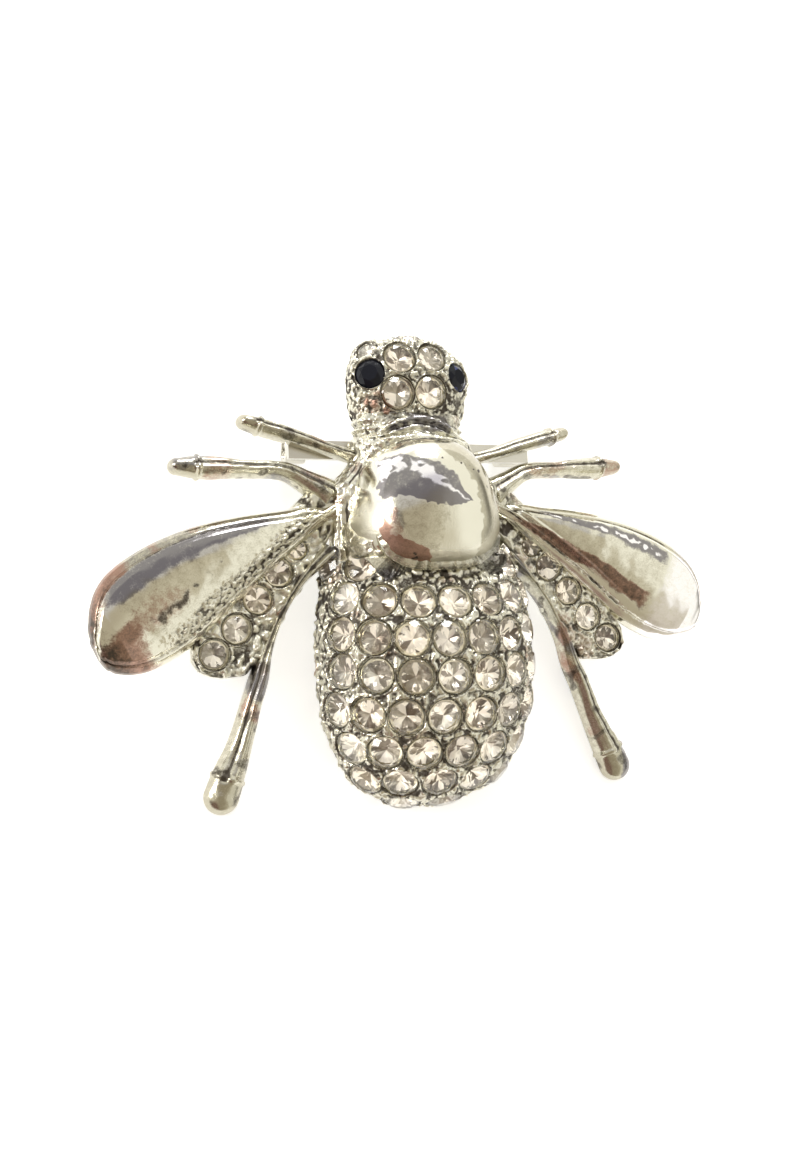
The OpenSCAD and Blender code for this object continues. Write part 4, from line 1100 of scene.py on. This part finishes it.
# Colours of the sky and the paper; each box is its place (mm), size, power and colour
studio = {
    "floor": (0.86, 0.86, 0.86, 1), "shade": (0.83, 0.83, 0.83, 1), "glow": 0.56,
    "ceiling": (0.50, 0.445, 0.345, 1), "beside": (0.66, 0.61, 0.49, 1), "cream": (1.06, 1.04, 0.95, 1),
    "lilac": (0.62, 0.60, 0.61, 1), "highlight": (1.0, 0.985, 0.92, 1), "brown": (0.30, 0.20, 0.17, 1),
    "card": (0.12, 0.112, 0.095, 1), "leftWall": (1.12, 1.09, 0.99, 1), "strength": 1.0,
    "leftBox": ((-380, 60, 120), 0.12, 0.7, (1.0, 0.985, 0.95)),
    "backBox": ((60, 400, 120), 0.14, 1.0, (0.97, 0.98, 1.0)),
}
# The sky's patches in order: colour, direction, and the share of it where the smooth step begins and ends
skyPatches = (
    ("beside", (1.0, 0.0, 0.0), 0.05, 0.35), ("lilac", (0.0, 1.0, 0.0), 0.06, 0.16),
    ("highlight", (0.0, 1.0, 0.0), 0.34, 0.46), ("brown", (-0.73, -0.68, 0.1), 0.80, 0.90),
    ("cream", (1.0, 0.05, 0.0), 0.36, 0.44),
)


# White paper under the brooch, 3 m wide, which glows a little.
def makeFloor():
    mesh = bpy.data.meshes.new("paperFloor")
    mesh.from_pydata([(-1.5, -1.5, 0), (1.5, -1.5, 0), (1.5, 1.5, 0), (-1.5, 1.5, 0)], [], [(0, 1, 2, 3)])
    material = newMaterial("palePaper")
    tree = material.node_tree
    patchy = sums(tree, "MULTIPLY", noiseAt(tree, millimetres(tree), 0.05), 0.15)
    mesh.materials.append(shade(material, {
        "Base Color": blend(tree, patchy, studio["floor"], studio["shade"]), "Roughness": 0.8,
        "Emission Color": (1, 1, 1, 1), "Emission Strength": studio["glow"]}))
    floor = bpy.data.objects.new("paperFloor", mesh)
    bpy.context.scene.collection.objects.link(floor)


# Sky of the studio: dim overhead, then its patches, darker low beside the table, and a pale wall at
# the left. Masks are smooth steps of the direction's own x, y and z.
def makeWorld():
    world = bpy.data.worlds.new("studioWorld")
    bpy.context.scene.world = world
    world.use_nodes = True
    tree = world.node_tree
    tree.nodes.clear()
    way = addNode(tree, "ShaderNodeTexCoord").outputs["Generated"]
    def towards(vector, low, high):
        share = addNode(tree, "ShaderNodeVectorMath", {0: way, 1: vector}, operation="DOT_PRODUCT").outputs["Value"]
        return between(tree, share, low, high)
    colour = studio["ceiling"]
    for key, vector, low, high in skyPatches:
        colour = blend(tree, towards(vector, low, high), colour, studio[key])
    dark = towards((0.0, 0.0, 1.0), -0.02, 0.06)
    for vector, low, high in (((0.0, 0.0, 1.0), 0.12, 0.42), ((0.0, 1.0, 0.0), 0.3, 0.6), ((0.0, -1.0, 0.0), 0.3, 0.6)):
        dark = sums(tree, "MULTIPLY", dark, sums(tree, "SUBTRACT", 1.0, towards(vector, low, high)))
    colour = blend(tree, sums(tree, "MULTIPLY", dark, 0.8), colour, studio["card"])
    colour = blend(tree, towards((-0.965, 0.12, 0.23), 0.88, 0.96), colour, studio["leftWall"])
    sky = addNode(tree, "ShaderNodeBackground", {"Color": colour, "Strength": studio["strength"]})
    addNode(tree, "ShaderNodeOutputWorld", {"Surface": sky.outputs[0]})


# Soft box: a square lamp at a place in millimetres, turned to face the brooch.
def softBox(name, where, size, power, colour):
    lamp = bpy.data.lights.new(name, "AREA")
    lamp.shape, lamp.size, lamp.energy, lamp.color = "SQUARE", size, power, colour
    thing = bpy.data.objects.new(name, lamp)
    thing.location = [v / 1000 for v in where]
    thing.rotation_euler = (-thing.location).to_track_quat("-Z", "Y").to_euler()
    bpy.context.scene.collection.objects.link(thing)


# Camera of the photograph: its place in metres and its own right, down and ahead directions.
def makeCamera():
    seen = bpy.data.cameras.new("productCamera")
    seen.sensor_fit, seen.sensor_width, seen.lens = "AUTO", 36.0, 37.37
    seen.clip_start, seen.clip_end = 0.005, 10
    camera = bpy.data.objects.new("productCamera", seen)
    right = (0.92658479, -0.08237058, 0.36695465)
    down = (-0.01944023, -0.98490603, -0.17199472)
    ahead = (0.37558315, 0.15223401, -0.91420025)
    turn = Matrix((right, [-v for v in down], [-v for v in ahead])).transposed().to_4x4()
    turn.translation = (-0.03592343, -0.01475472, 0.08588792)
    camera.matrix_world = turn
    bpy.context.scene.collection.objects.link(camera)
    bpy.context.scene.camera = camera


makeFloor()
makeWorld()
for name in ("leftBox", "backBox"):
    softBox(name, *studio[name])
makeCamera()
bpy.context.scene.view_settings.view_transform = "Standard"
print("studio set")
